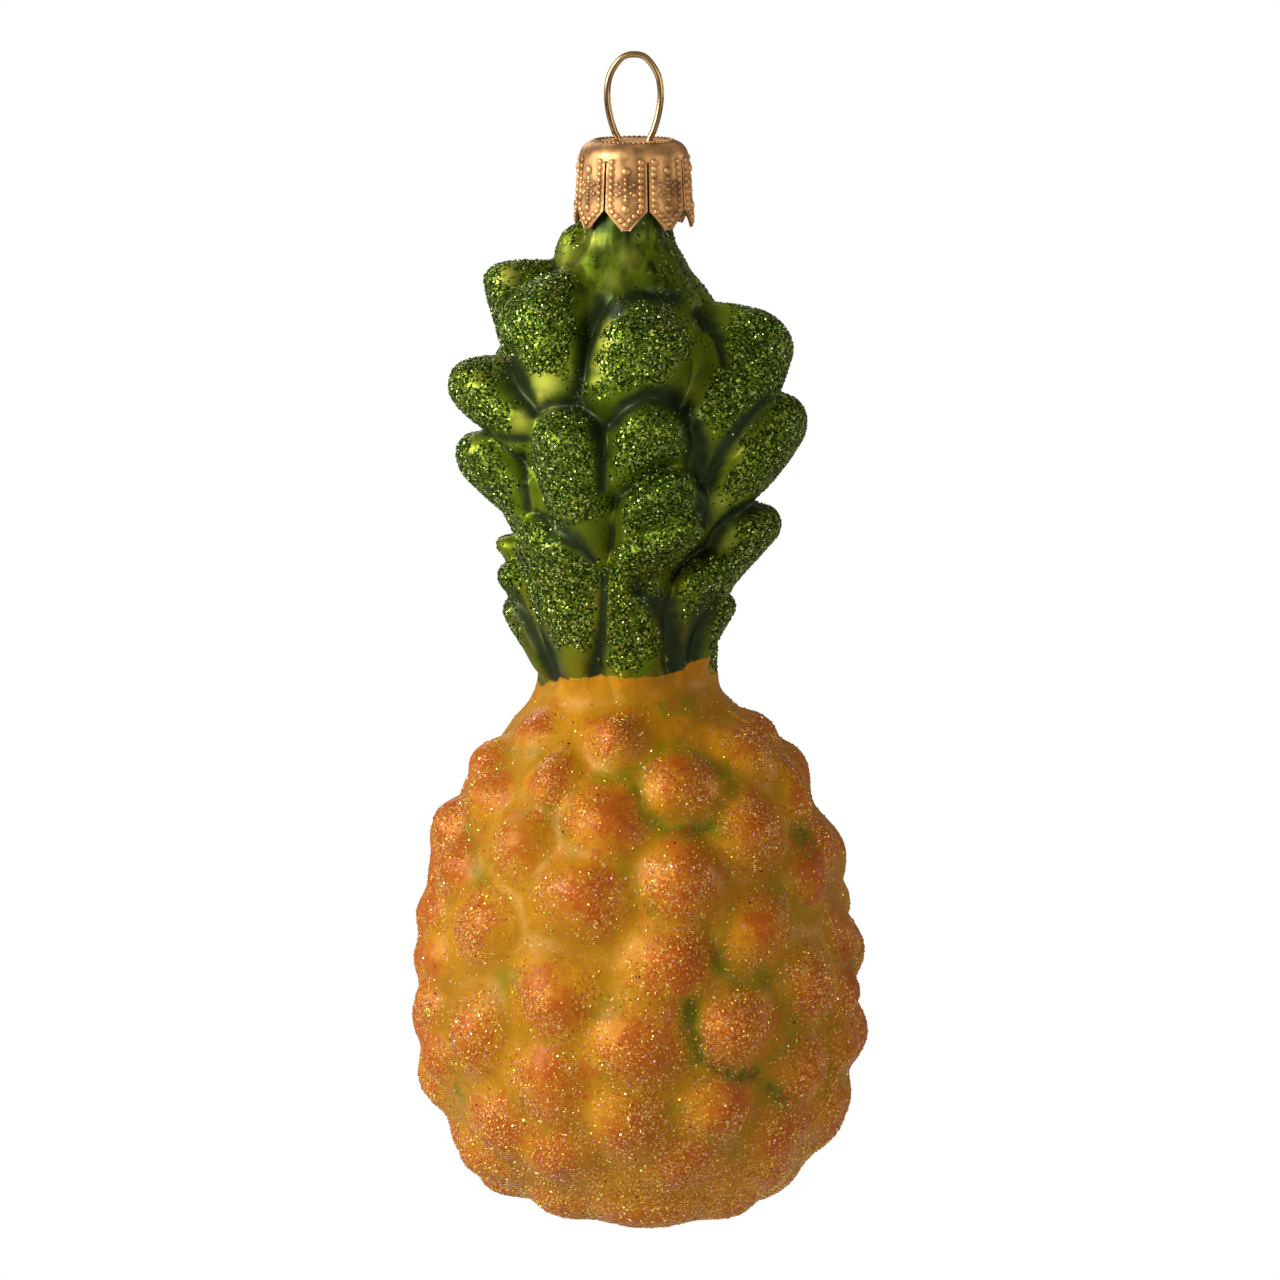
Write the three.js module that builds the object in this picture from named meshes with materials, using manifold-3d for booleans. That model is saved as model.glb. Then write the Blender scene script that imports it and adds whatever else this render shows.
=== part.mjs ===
// A hollow, mouth-blown glass tree ornament in the shape of a pineapple. It is three pieces:
//   glass_body   one blown shell: the fruit with its raised eyes, the crown of leaves, the plain neck
//   crown_cap    a stamped cap with eight pointed tabs that sits over the neck
//   hanger_wire  one bent wire: the loop above the cap and two sprung legs inside the neck
// Millimetres, +Z up. The origin is where a hook bears, at the underside of the top of the loop.
import * as THREE from 'three';
import { mergeVertices } from 'three/addons/utils/BufferGeometryUtils.js';
import Module from 'manifold-3d';

const wasm = await Module();
wasm.setup();

// ---- Driving dimensions. Heights are measured up from the bottom of the glass. ----
const GLASS_TOP = 107.8;
const NECK_R = 4.55;
const WALL = 1.0;

const CAP_TOP = 108.7;
const CAP_SHEET = 0.4;
const CAP_TOP_R = 5.5;
const CAP_HEM_R = 5.85;
const CAP_CORNER = 1.6;
const TAB_COUNT = 8;
const TAB_TURN = -8;
const SLIT_WIDTH = 0.4;
const SLIT_TOP = 107.1;
const TAB_SHOULDER = 102.1;
const TAB_TIP = 100.2;
const TAB_TIP_WIDTH = 0.9;

const WIRE_D = 0.66;
const HOOK_HEIGHT = 116.8;
const HOLE_OFFSET = 1.6;
const HOLE_R = 0.75;
// Right half of the wire's centreline, from the end of the leg to the top of the loop: across and up.
const WIRE_HALF = [
  [3.7, 92.0], [3.0, 95.4], [2.5, 99.0], [2.5, 102.4], [2.0, 105.0], [1.4, 107.2], [1.5, 108.6],
  [1.95, 109.6], [2.32, 110.8], [2.58, 112.2], [2.64, 113.5], [2.46, 114.9], [2.0, 116.05],
  [1.25, 116.85],
];

// Radius and height of the glass at the bottom of its grooves, from the pole to the waist,
// round the crown and up to the neck.
const SECTION = [
  [0, 0], [8, 0.9], [13.4, 3.3], [17.1, 7.6], [19.9, 14], [20.9, 21.5], [20.5, 29.6], [18.9, 37.8],
  [16.0, 45], [12.6, 49.8], [9.9, 52.7], [8.6, 55.5], [8.7, 59.2], [9.8, 64.8], [11.4, 70.3],
  [12.5, 76.4], [12.5, 82.5], [10.9, 88.6], [8.3, 93.4], [6.4, 96.2], [4.8, 98.9], [NECK_R, 101.5],
  [NECK_R, GLASS_TOP],
];
const SECTION_SAMPLES = 1200;
// Sideways drift of the centreline, as hand blowing leaves it: offset and height.
const DRIFT = [
  [1.3, 0], [0.6, 14], [0.6, 40], [0.2, 48], [-1.2, 58], [-0.3, 72], [-0.9, 96], [-0.2, GLASS_TOP],
];
// Below the crown's foot an eye rises square to the wall. Above it a leaf rises outward and up, by
// an angle that grows from the lowest leaves to the highest.
const CROWN_FOOT = 54.5;
const CROWN_BLEND = 4;
const LEAF_LIFT = { low: 12, high: 18, from: 58, to: 90 };

// The front is set out as it looks from straight ahead and SIGHT_TILT degrees above level, in
// millimetres across from the neck's axis and up from the lowest point in sight.
const SIGHT_TILT = 9;
const SIGHT_LEVEL = [58.6, 59.3];

// Eyes of the fruit's front: across, up, reach and rise.
const FRONT_EYES = [
  [-10.7, 49.4, 3.0, 1.1], [-2.2, 49.1, 3.4, 1.9], [12.0, 48.1, 3.9, 1.5], [-8.9, 44.8, 3.4, 1.9],
  [4.7, 44.1, 4.2, 2.0], [-15.8, 46.4, 3.4, 1.9], [14.0, 49.4, 3.2, 1.2], [-15.5, 43.1, 3.4, 1.7],
  [15.6, 45.2, 3.3, 1.1], [-3.4, 40.6, 4.5, 2.0], [-12.2, 38.1, 4.1, 2.1], [12.7, 39.6, 4.3, 1.9],
  [17.0, 42.4, 3.4, 1.3], [-19.6, 40.3, 3.6, 2.9], [5.0, 34.8, 4.8, 2.2], [-18.8, 35.8, 3.8, 2.2],
  [-6.0, 33.1, 4.8, 2.1], [20.0, 37.6, 3.6, 1.7], [18.2, 34.8, 4.2, 1.8], [-16.4, 29.8, 4.5, 2.2],
  [13.0, 29.6, 4.3, 2.1], [-20.9, 31.1, 3.4, 2.2], [22.0, 28.0, 3.9, 1.7], [3.6, 26.1, 4.6, 2.0],
  [-20.9, 26.4, 3.4, 2.0], [-8.6, 22.2, 5.0, 2.1], [18.7, 23.6, 4.2, 2.1], [-17.0, 18.4, 4.5, 2.4],
  [11.2, 19.6, 4.7, 2.3], [-21.5, 21.1, 3.4, 2.1], [22.2, 22.8, 3.2, 2.2], [22.2, 17.8, 3.4, 2.1],
  [0.4, 17.6, 5.2, 2.2], [-20.6, 15.6, 3.9, 1.9], [-8.9, 13.6, 4.9, 2.1], [18.0, 15.1, 4.2, 2.0],
  [20.6, 11.5, 4.0, 1.9], [-14.4, 9.2, 4.4, 2.0], [-1.0, 9.6, 4.8, 1.9], [9.0, 11.4, 4.6, 2.1],
  [-8.4, 6.6, 4.3, 1.5], [15.4, 8.8, 4.2, 1.1], [4.6, 5.8, 4.3, 1.2], [-16.0, 5.0, 4.0, 2.4],
  [14.4, 4.4, 4.0, 1.1],
];
// Eyes at either side, which shape the outline: turn from the front, up, reach and rise.
const SIDE_EYES = [
  [-92, 43.8, 3.6, 0.8], [-94, 38.4, 4.0, 2.2], [-92, 34.8, 3.8, 1.4], [-94, 30.2, 4.0, 1.8],
  [-96, 25.4, 4.2, 1.8], [-90, 19.6, 4.4, 1.8], [-92, 13.8, 4.4, 2.2], [-90, 7.6, 4.6, 1.9],
  [-80, 4.4, 4.2, 2.4], [94, 45.6, 3.8, 1.4], [88, 37.0, 4.2, 1.4], [92, 27.4, 4.2, 1.6],
  [90, 18.6, 4.8, 2.1], [96, 11.8, 4.6, 1.9], [88, 9.4, 4.4, 1.6], [84, 3.0, 4.6, 1.0],
];
// The flank of an eye runs out past its reach, its middle swells past its rise, and a higher
// fall-off makes it more pointed.
const EYE_SKIRT = 1.36;
const EYE_SWELL = 1.15;
const EYE_FALL_OFF = 2.5;
// Leaves of the crown's front: tip across and up, root across and up, half width and rise.
const FRONT_LEAVES = [
  [-6.5, 99.4, -7.6, 93.4, 2.2, 1.6], [-14.9, 96.2, -11.2, 86.0, 3.7, 6.1],
  [-9.4, 95.3, -8.6, 81.0, 6.0, 4.6], [2.2, 92.6, -1.2, 79.0, 6.2, 4.8],
  [13.8, 91.2, 6.8, 76.2, 5.6, 5.7], [16.3, 82.7, 8.2, 70.4, 5.1, 5.5],
  [13.8, 72.9, 8.8, 62.2, 5.1, 4.6], [-17.7, 85.2, -10.4, 78.0, 4.4, 6.1],
  [-17.2, 78.4, -10.9, 70.8, 4.6, 5.3], [-7.4, 81.2, -5.4, 66.0, 5.0, 4.2],
  [3.4, 82.1, -0.4, 71.4, 4.9, 4.2], [5.6, 75.2, 0.2, 62.6, 5.4, 4.6],
  [-10.4, 71.2, -5.8, 53.6, 6.2, 3.2], [-0.2, 66.4, 0.8, 53.0, 4.5, 2.4],
  [5.6, 63.4, 5.4, 54.0, 2.4, 1.6], [9.6, 67.4, 6.0, 58.4, 4.0, 3.4], [10.1, 63.3, 6.9, 54.6, 2.8, 2.9],
  [-13.7, 69.0, -12.2, 64.4, 2.2, 2.6], [-13.3, 66.4, -10.4, 59.0, 3.0, 3.2],
  [-12.9, 63.0, -9.0, 54.6, 2.8, 3.2],
];
// A leaf is this share of its width and rise at the root, has a rounded head (a higher corner power
// is squarer), is flat across as far as its shoulders (a higher power is flatter) and starts a little
// before its root. Its outline as seen is taken this far up its rise, at the tip and at the root.
const LEAF = {
  rootWidth: 0.7, rootRise: 0.3, corner: 2.3, shoulder: 2.8, edge: 1.2, start: -0.15,
  shortestStem: 0.45, tipSeen: 0.7, rootSeen: 0.3, middleSeen: 0.4,
};
// The back carries the same pattern by rule, in rows of eyes and tiers of leaves that are each half
// a step on from the last, with a little seeded unevenness. What would come closer than its gap to
// one of the front is left out. Rows and tiers are counted round both ways from the middle of the back.
const BACK_EYES = {
  first: 6, last: 62, pitch: 6.3, spacing: 8.2, reach: 4.4, rise: 1.9, gap: 6.2, edge: 84,
};
const BACK_LEAVES = { step: 34, gap: 5.8, edge: 95, length: 12.5 };
// Height of the tips, half width and rise of each tier.
const BACK_TIERS = [
  [60.5, 3.6, 1.5], [66.5, 4.1, 2.8], [72.5, 4.4, 3.8], [78.5, 4.7, 4.8], [84.5, 4.8, 5.6],
  [90.5, 4.7, 4.6], [94.5, 4.0, 3.0],
];
// How far the back's pattern strays: sizes by a share, eyes by a share of a step round and by
// millimetres along, leaves' tips and roots by degrees round and their tips by millimetres up.
const STRAY = { eyeSize: 0.1, eyeTurn: 0.1, eyeLength: 0.5, leafSize: 0.08, tip: 4, root: 7, tipUp: 0.75 };
const SEED = 11;
// Relief fades towards the pole.
const POLE_FADE = { least: 0.2, from: 6, to: 23 };

// Mesh fineness: rows up the fruit, the crown and the neck, and columns round. The hollow takes
// every second of each. A higher SMOOTH_JOIN makes the grooves between eyes or leaves sharper.
const ROWS = [[0, 55.5, 33], [55.5, 101.5, 36], [101.5, GLASS_TOP, 2]];
const COLUMNS = 64;
const INNER_STEP = 2;
const SMOOTH_JOIN = { eyes: 1.2, leaves: 2.0 };

const rad = THREE.MathUtils.degToRad;
const lerp = THREE.MathUtils.lerp;
const clamp = THREE.MathUtils.clamp;
const smooth = THREE.MathUtils.smoothstep;

// ---- The section of the glass, as a table of length along the wall, radius and height ----
const TABLE = (() => {
  const curve = new THREE.SplineCurve(SECTION.map(([r, z]) => new THREE.Vector2(r, z)));
  const points = curve.getPoints(SECTION_SAMPLES);
  let length = 0;
  return points.map((p, i) => {
    length += i ? p.distanceTo(points[i - 1]) : 0;
    return { length, r: Math.max(p.x, 0), z: p.y };
  });
})();

// One value of TABLE where another has the given value, both rising steadily.
function lookUp(key, value, wanted) {
  let low = 0;
  let high = TABLE.length - 1;
  while (high - low > 1) {
    const middle = (low + high) >> 1;
    if (TABLE[middle][key] <= value) low = middle;
    else high = middle;
  }
  const share = clamp((value - TABLE[low][key]) / (TABLE[high][key] - TABLE[low][key]), 0, 1);
  return lerp(TABLE[low][wanted], TABLE[high][wanted], share);
}

function driftAt(z) {
  const next = clamp(DRIFT.findIndex(([, height]) => height >= z), 1, DRIFT.length - 1);
  const [[from, low], [to, high]] = [DRIFT[next - 1], DRIFT[next]];
  return from + (to - from) * smooth(z, low, high);
}

// The bare wall at a length along the section: radius, height, the way relief rises, and how far
// that way is from square to the wall.
function wallAt(length) {
  const step = 0.4;
  const [r, z] = ['r', 'z'].map((key) => lookUp('length', length, key));
  const slope = ['r', 'z'].map(
    (key) => lookUp('length', length + step, key) - lookUp('length', length - step, key));
  const square = Math.atan2(-slope[0], slope[1]);
  const lift = rad(lerp(
    LEAF_LIFT.low, LEAF_LIFT.high, smooth(z, LEAF_LIFT.from, LEAF_LIFT.to)));
  const rise = lerp(square, lift, smooth(z, CROWN_FOOT, CROWN_FOOT + CROWN_BLEND));
  return { length, r, z, out: Math.cos(rise), up: Math.sin(rise), square: Math.cos(rise - square) };
}

// A point on the wall, raised by relief, turned from the front (-Y) towards +X.
function pointOn(wall, turn, relief) {
  const r = wall.r + relief * wall.out;
  const z = wall.z + relief * wall.up;
  return [r * Math.sin(turn) + driftAt(wall.z), -r * Math.cos(turn), z];
}

// The turn and the wall height under something seen at (across, up) that stands this proud.
function sighted(across, up, proud) {
  const [seen, real] = SIGHT_LEVEL;
  let z = up;
  let turn = 0;
  for (let i = 0; i < 20; i++) {
    const wall = wallAt(lookUp('z', z, 'length'));
    const r = wall.r + proud * wall.out;
    turn = Math.asin(clamp((across - driftAt(wall.z)) / r, -1, 1));
    const forward = r * Math.cos(turn);
    const top = real + (up - seen + forward * Math.sin(rad(SIGHT_TILT))) / Math.cos(rad(SIGHT_TILT));
    z = top - proud * wall.up;
  }
  return { turn, z };
}

// A value moved up or down by no more than spread, the same way on every run.
let state = SEED;
function uneven(value, spread) {
  state = (Math.imul(state, 1664525) + 1013904223) >>> 0;
  return value + spread * ((2 * state) / 2 ** 32 - 1);
}

// ---- Eyes: rounded knobs on the fruit ----
function makeEyes() {
  const eyes = FRONT_EYES.map(([across, up, reach, rise]) => {
    const { turn, z } = sighted(across, up, rise);
    return eyeAt(turn, lookUp('z', z, 'length'), reach, rise);
  });
  for (const [turn, up, reach, rise] of SIDE_EYES) {
    eyes.push(eyeAt(rad(turn), lookUp('z', up, 'length'), reach, rise));
  }
  const front = eyes.slice();
  const { first, last, pitch, spacing, reach, rise, gap, edge } = BACK_EYES;
  for (let row = 0, length = first; length < last; row++, length += pitch) {
    const step = spacing / lookUp('length', length, 'r');
    const widest = length < 2 * pitch ? Math.PI : rad(edge);
    for (const turn of stepsRoundTheBack(step, row, widest)) {
      const size = uneven(1, STRAY.eyeSize);
      const place = [uneven(turn, STRAY.eyeTurn * step), uneven(length, STRAY.eyeLength)];
      const eye = eyeAt(...place, reach * size, rise * size);
      if (front.every((other) => distance(eye.centre, other.centre) > gap)) eyes.push(eye);
    }
  }
  return eyes;
}

// Turns either side of the middle of the back, a step apart, with every other row half a step on.
function stepsRoundTheBack(step, row, widest) {
  const turns = [];
  for (let turn = (row % 2) * step * 0.5; turn < widest; turn += step) {
    turns.push(Math.PI + turn);
    if (turn > 0) turns.push(Math.PI - turn);
  }
  return turns;
}

function eyeAt(turn, length, reach, rise) {
  return { centre: pointOn(wallAt(length), turn, 0), reach: EYE_SKIRT * reach, rise: EYE_SWELL * rise };
}

function distance(a, b) {
  return Math.hypot(a[0] - b[0], a[1] - b[1], a[2] - b[2]);
}

function eyeRelief(eye, point) {
  const out = distance(eye.centre, point) / eye.reach;
  return out < 1 ? eye.rise * (1 - out * out) ** EYE_FALL_OFF : 0;
}

// ---- Leaves: tongues that rise from a narrow root to a broad rounded head ----
function makeLeaves() {
  const leaves = FRONT_LEAVES.map(([tipAcross, tipUp, rootAcross, rootUp, halfWidth, rise]) => {
    const tip = sighted(tipAcross, tipUp, LEAF.tipSeen * rise);
    const root = sighted(rootAcross, rootUp, LEAF.rootSeen * rise);
    return leafAt(tip, root, halfWidth, rise);
  });
  const front = leaves.slice();
  BACK_TIERS.forEach(([up, halfWidth, rise], tier) => {
    for (const middle of stepsRoundTheBack(rad(BACK_LEAVES.step), tier, rad(BACK_LEAVES.edge))) {
      const size = uneven(1, STRAY.leafSize);
      const lifted = LEAF.tipSeen * rise * wallAt(lookUp('z', up, 'length')).up;
      const tip = { turn: uneven(middle, rad(STRAY.tip)), z: uneven(up - lifted, STRAY.tipUp) };
      const foot = Math.max(tip.z - BACK_LEAVES.length, CROWN_FOOT - 1);
      const root = { turn: uneven(tip.turn, rad(STRAY.root)), z: foot };
      const leaf = leafAt(tip, root, halfWidth * size, rise * size);
      if (front.every((other) => distance(leaf.head, other.head) > BACK_LEAVES.gap)) leaves.push(leaf);
    }
  });
  return leaves;
}

function leafAt(tip, root, halfWidth, rise) {
  const lengths = [tip.z, root.z].map((z) => lookUp('z', z, 'length'));
  const r = wallAt((lengths[0] + lengths[1]) / 2).r + LEAF.middleSeen * rise;
  const across = r * wrapped(tip.turn - root.turn);
  const along = lengths[0] - lengths[1];
  const size = Math.hypot(across, along);
  return {
    turn: root.turn, length: lengths[1], r, size, halfWidth, rise,
    way: [across / size, along / size], head: pointOn(wallAt(lengths[0]), tip.turn, 0),
  };
}

function wrapped(turn) {
  return turn - 2 * Math.PI * Math.round(turn / (2 * Math.PI));
}

function leafRelief(leaf, wall, turn) {
  const x = leaf.r * wrapped(turn - leaf.turn);
  const y = wall.length - leaf.length;
  const along = (x * leaf.way[0] + y * leaf.way[1]) / leaf.size;
  if (along < LEAF.start || along > 1) return 0;
  const aside = x * leaf.way[1] - y * leaf.way[0];
  const headStart = Math.max(1 - leaf.halfWidth / leaf.size, LEAF.shortestStem);
  const width = leaf.halfWidth * lerp(LEAF.rootWidth, 1, smooth(along, LEAF.start, headStart));
  const past = Math.max(along - headStart, 0) / (1 - headStart);
  const { corner } = LEAF;
  const out = (Math.abs(aside / width) ** corner + past ** corner) ** (1 / corner);
  if (out >= 1) return 0;
  const climb = clamp(lerp(LEAF.rootRise, 1, along / headStart), 0, 1);
  const start = smooth(along, LEAF.start, -LEAF.start);
  return leaf.rise * climb * start * (1 - out ** LEAF.shoulder) ** LEAF.edge;
}

const EYES = makeEyes();
const LEAVES = makeLeaves();

// The relief of the mould at a place on the wall: the highest of what lies there, with soft joins.
function reliefAt(wall, turn) {
  const point = pointOn(wall, turn, 0);
  const crown = smooth(wall.z, CROWN_FOOT - CROWN_BLEND, CROWN_FOOT);
  const heights = EYES.map((eye) => eyeRelief(eye, point));
  if (crown > 0) heights.push(...LEAVES.map((leaf) => crown * leafRelief(leaf, wall, turn)));
  const sharpness = lerp(SMOOTH_JOIN.eyes, SMOOTH_JOIN.leaves, crown);
  const sum = heights.reduce((total, height) => total + Math.expm1(sharpness * height), 1);
  const { least, from, to } = POLE_FADE;
  const fade = lerp(least, 1, smooth(wall.length, from, to));
  return (fade * Math.log(sum)) / sharpness;
}

// ---- Closed meshes and solids ----
function solidOf(geometry) {
  const bare = new THREE.BufferGeometry();
  bare.setAttribute('position', geometry.getAttribute('position').clone());
  if (geometry.index) bare.setIndex(geometry.index.clone());
  const merged = mergeVertices(bare, 1e-4);
  const corners = Array.from(merged.index.array);
  const triVerts = [];
  for (let i = 0; i < corners.length; i += 3) {
    const [a, b, c] = corners.slice(i, i + 3);
    if (a !== b && b !== c && c !== a) triVerts.push(a, b, c);
  }
  return new wasm.Manifold(new wasm.Mesh({
    numProp: 3,
    vertProperties: merged.getAttribute('position').array,
    triVerts: Uint32Array.from(triVerts),
  }));
}

function geometryOf(solid) {
  const mesh = solid.getMesh();
  const geometry = new THREE.BufferGeometry();
  geometry.setAttribute('position', new THREE.BufferAttribute(mesh.vertProperties, 3));
  geometry.setIndex(new THREE.BufferAttribute(mesh.triVerts, 1));
  geometry.computeVertexNormals();
  return geometry;
}

// Rings of points, lowest first, closed by a point below the first ring and one above the last.
function ringsGeometry(bottom, rings, top) {
  const count = rings[0].length;
  const positions = [bottom, ...rings.flat(), top].flat();
  const index = [];
  const at = (ring, column) => 1 + ring * count + (column % count);
  for (let column = 0; column < count; column++) {
    index.push(0, at(0, column + 1), at(0, column));
    for (let ring = 0; ring + 1 < rings.length; ring++) {
      const [a, b] = [at(ring, column), at(ring, column + 1)];
      const [c, d] = [at(ring + 1, column + 1), at(ring + 1, column)];
      index.push(a, b, c, a, c, d);
    }
    index.push(at(rings.length - 1, column), at(rings.length - 1, column + 1), positions.length / 3 - 1);
  }
  const geometry = new THREE.BufferGeometry();
  geometry.setAttribute('position', new THREE.Float32BufferAttribute(positions, 3));
  geometry.setIndex(index);
  return geometry;
}

// ---- The three pieces ----
function makeGlass() {
  const lengths = ROWS.flatMap(([low, high, count]) => {
    const [from, to] = [low, high].map((z) => lookUp('z', z, 'length'));
    return Array.from({ length: count }, (_, i) => from + ((to - from) * (i + 1)) / count);
  });
  const walls = lengths.map(wallAt);
  const turns = Array.from({ length: COLUMNS }, (_, i) => (i / COLUMNS) * 2 * Math.PI);
  const relief = walls.map((wall) => turns.map((turn) => reliefAt(wall, turn)));
  const poleRelief = reliefAt(wallAt(0), 0);
  const outer = walls.map((wall, i) => turns.map((turn, j) => pointOn(wall, turn, relief[i][j])));

  // The hollow follows the relief from inside: nowhere nearer to the outside than the wall.
  const inner = [];
  for (let i = INNER_STEP - 1; i < walls.length; i += INNER_STEP) {
    inner.push(turns.filter((_, j) => j % INNER_STEP === 0).map((turn, k) => {
      const near = [];
      for (let di = -INNER_STEP; di <= INNER_STEP; di++) {
        for (let dj = -INNER_STEP; dj <= INNER_STEP; dj++) {
          const row = clamp(i + di, 0, walls.length - 1);
          near.push(relief[row][(k * INNER_STEP + dj + COLUMNS) % COLUMNS]);
        }
      }
      return pointOn(walls[i], turn, Math.min(...near) - WALL / walls[i].square);
    }));
  }
  const mouth = inner.at(-1).map(([x, y]) => [x, y, GLASS_TOP + 1]);
  const shell = solidOf(ringsGeometry([driftAt(0), 0, -poleRelief], outer, [0, 0, GLASS_TOP]));
  const hollow = solidOf(ringsGeometry([driftAt(0), 0, WALL], [...inner, mouth], [0, 0, GLASS_TOP + 1]));
  return shell.subtract(hollow);
}

// The cap before its slits: a cup, mouth down, with a rounded upper corner.
function cupGeometry() {
  const corner = (radius) => Array.from({ length: 5 }, (_, i) => {
    const angle = (i / 4) * (Math.PI / 2);
    return new THREE.Vector2(
      CAP_TOP_R - CAP_CORNER + radius * Math.sin(angle), CAP_TOP - CAP_CORNER + radius * Math.cos(angle));
  });
  const cup = new THREE.LatheGeometry([
    new THREE.Vector2(0, CAP_TOP - CAP_SHEET),
    ...corner(CAP_CORNER - CAP_SHEET),
    new THREE.Vector2(CAP_HEM_R - CAP_SHEET, TAB_TIP),
    new THREE.Vector2(CAP_HEM_R, TAB_TIP),
    ...corner(CAP_CORNER).reverse(),
    new THREE.Vector2(0, CAP_TOP),
  ], COLUMNS);
  return cup.rotateX(Math.PI / 2);
}

// What is cut away between two tabs: a slit, and below the shoulders a notch that leaves points.
function slitGeometry(turn) {
  const pitch = (2 * Math.PI * CAP_HEM_R) / TAB_COUNT;
  const notch = (pitch - TAB_TIP_WIDTH) / 2;
  const foot = TAB_TIP - 1;
  const footNotch = notch + (notch - SLIT_WIDTH / 2) / (TAB_SHOULDER - TAB_TIP);
  const outline = new THREE.Shape([
    [-SLIT_WIDTH / 2, SLIT_TOP], [-SLIT_WIDTH / 2, TAB_SHOULDER], [-footNotch, foot],
    [footNotch, foot], [SLIT_WIDTH / 2, TAB_SHOULDER], [SLIT_WIDTH / 2, SLIT_TOP],
  ].map(([x, z]) => new THREE.Vector2(x, z)));
  const cutter = new THREE.ExtrudeGeometry(outline, { depth: CAP_HEM_R, bevelEnabled: false });
  return cutter.translate(0, 0, CAP_TOP_R - CAP_CORNER).rotateX(Math.PI / 2).rotateZ(turn);
}

function makeCap() {
  let cap = solidOf(cupGeometry());
  for (let i = 0; i < TAB_COUNT; i++) {
    cap = cap.subtract(solidOf(slitGeometry(rad(TAB_TURN + ((i + 0.5) * 360) / TAB_COUNT))));
  }
  for (const side of [-1, 1]) {
    const hole = new THREE.CylinderGeometry(HOLE_R, HOLE_R, 3, 16);
    hole.rotateX(Math.PI / 2);
    hole.translate(side * HOLE_OFFSET, 0, CAP_TOP);
    cap = cap.subtract(solidOf(hole));
  }
  return cap;
}

function makeWire() {
  const right = WIRE_HALF.map(([x, z]) => new THREE.Vector3(x, 0, z));
  const left = WIRE_HALF.map(([x, z]) => new THREE.Vector3(-x, 0, z)).reverse();
  const crest = new THREE.Vector3(0, 0, HOOK_HEIGHT + WIRE_D / 2);
  const line = new THREE.CatmullRomCurve3([...right, crest, ...left], false, 'centripetal');
  const round = new THREE.Shape();
  round.absarc(0, 0, WIRE_D / 2, 0, 2 * Math.PI);
  return solidOf(new THREE.ExtrudeGeometry(round, {
    steps: 72, curveSegments: 5, extrudePath: line, bevelEnabled: false,
  }));
}

function piece(name, solid, colour, roughness, metalness) {
  const mesh = new THREE.Mesh(geometryOf(solid), new THREE.MeshStandardMaterial({
    color: colour, roughness, metalness,
  }));
  mesh.name = name;
  return mesh;
}

const ornament = new THREE.Group();
ornament.add(piece('glass_body', makeGlass(), 0xb9781a, 0.35, 0));
ornament.add(piece('crown_cap', makeCap(), 0xb98a4e, 0.3, 1));
ornament.add(piece('hanger_wire', makeWire(), 0xa98748, 0.3, 1));
ornament.position.z = -HOOK_HEIGHT;

const part = new THREE.Group();
part.add(ornament);
export default part;
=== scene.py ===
# %% [markdown]
# # A mouth-blown glass pineapple
#
# The real object is a hollow Christmas tree ornament. A glassblower blows a bubble of glass into a
# mould, silvers or leaves it, paints it, and presses glitter into wet lacquer. A stamped metal cap
# sits over the open neck, and a sprung wire holds the cap on and makes the loop it hangs from.
#
# This lesson rebuilds it piece by piece: the glass, its paint, the glitter, the cap and the wire.
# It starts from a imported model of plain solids. Glass, cap and wire take the place of one each,
# and the glitter and the cap's beads lie on them. The ornament's own sizes are in millimetres
# until a mesh is made.

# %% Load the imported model
import math

import bpy
import numpy as np
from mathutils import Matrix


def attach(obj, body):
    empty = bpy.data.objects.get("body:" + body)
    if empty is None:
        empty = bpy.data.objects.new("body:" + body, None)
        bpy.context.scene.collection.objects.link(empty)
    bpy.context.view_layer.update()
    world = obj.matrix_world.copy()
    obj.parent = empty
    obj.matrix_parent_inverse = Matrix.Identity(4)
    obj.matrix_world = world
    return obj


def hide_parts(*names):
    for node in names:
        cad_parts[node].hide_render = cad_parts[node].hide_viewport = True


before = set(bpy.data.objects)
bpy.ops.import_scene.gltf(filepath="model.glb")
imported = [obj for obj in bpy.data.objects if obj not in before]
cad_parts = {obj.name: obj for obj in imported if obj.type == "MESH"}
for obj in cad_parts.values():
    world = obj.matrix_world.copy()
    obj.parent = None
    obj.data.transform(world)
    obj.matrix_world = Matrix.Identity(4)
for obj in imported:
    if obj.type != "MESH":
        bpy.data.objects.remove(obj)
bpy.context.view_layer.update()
scene = bpy.context.scene
MILLIMETRE = 0.001
print("plain solids:", sorted(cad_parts))


# %% [markdown]
# ## Nodes, one call at a time
#
# The surroundings, every finish and the trees that scatter glitter are built from nodes. A short
# helper keeps those cells readable: it adds a node, fills in its inputs, and links an input
# wherever it is given another node's output. A finish is a material built that way.

# %% Helpers for nodes, objects and meshes
class Tree:
    """A node tree that is built one call at a time. Its family goes before short node names."""

    def __init__(self, tree, family=""):
        self.tree, self.family = tree, family
        self.nodes, self.links = tree.nodes, tree.links

    def fill(self, node, inputs):
        for key, value in inputs.items():
            if isinstance(value, bpy.types.NodeSocket):
                self.links.new(value, node.inputs[key])
            else:
                node.inputs[key].default_value = value

    def add(self, kind, inputs=None, **settings):
        node = self.nodes.new(kind if "Node" in kind else self.family + kind)
        for key, value in settings.items():
            setattr(node, key, value)
        self.fill(node, inputs or {})
        return node

    def maths(self, operation, a, b):
        return self.add("ShaderNodeMath", {0: a, 1: b}, operation=operation).outputs[0]

    def by_sight(self, lit, seen):
        """One shader for what lights the scene, and another for what the camera sees."""
        straight = self.add("LightPath").outputs["Is Camera Ray"]
        return self.add("MixShader", {"Fac": straight, 1: lit, 2: seen}).outputs[0]


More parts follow.
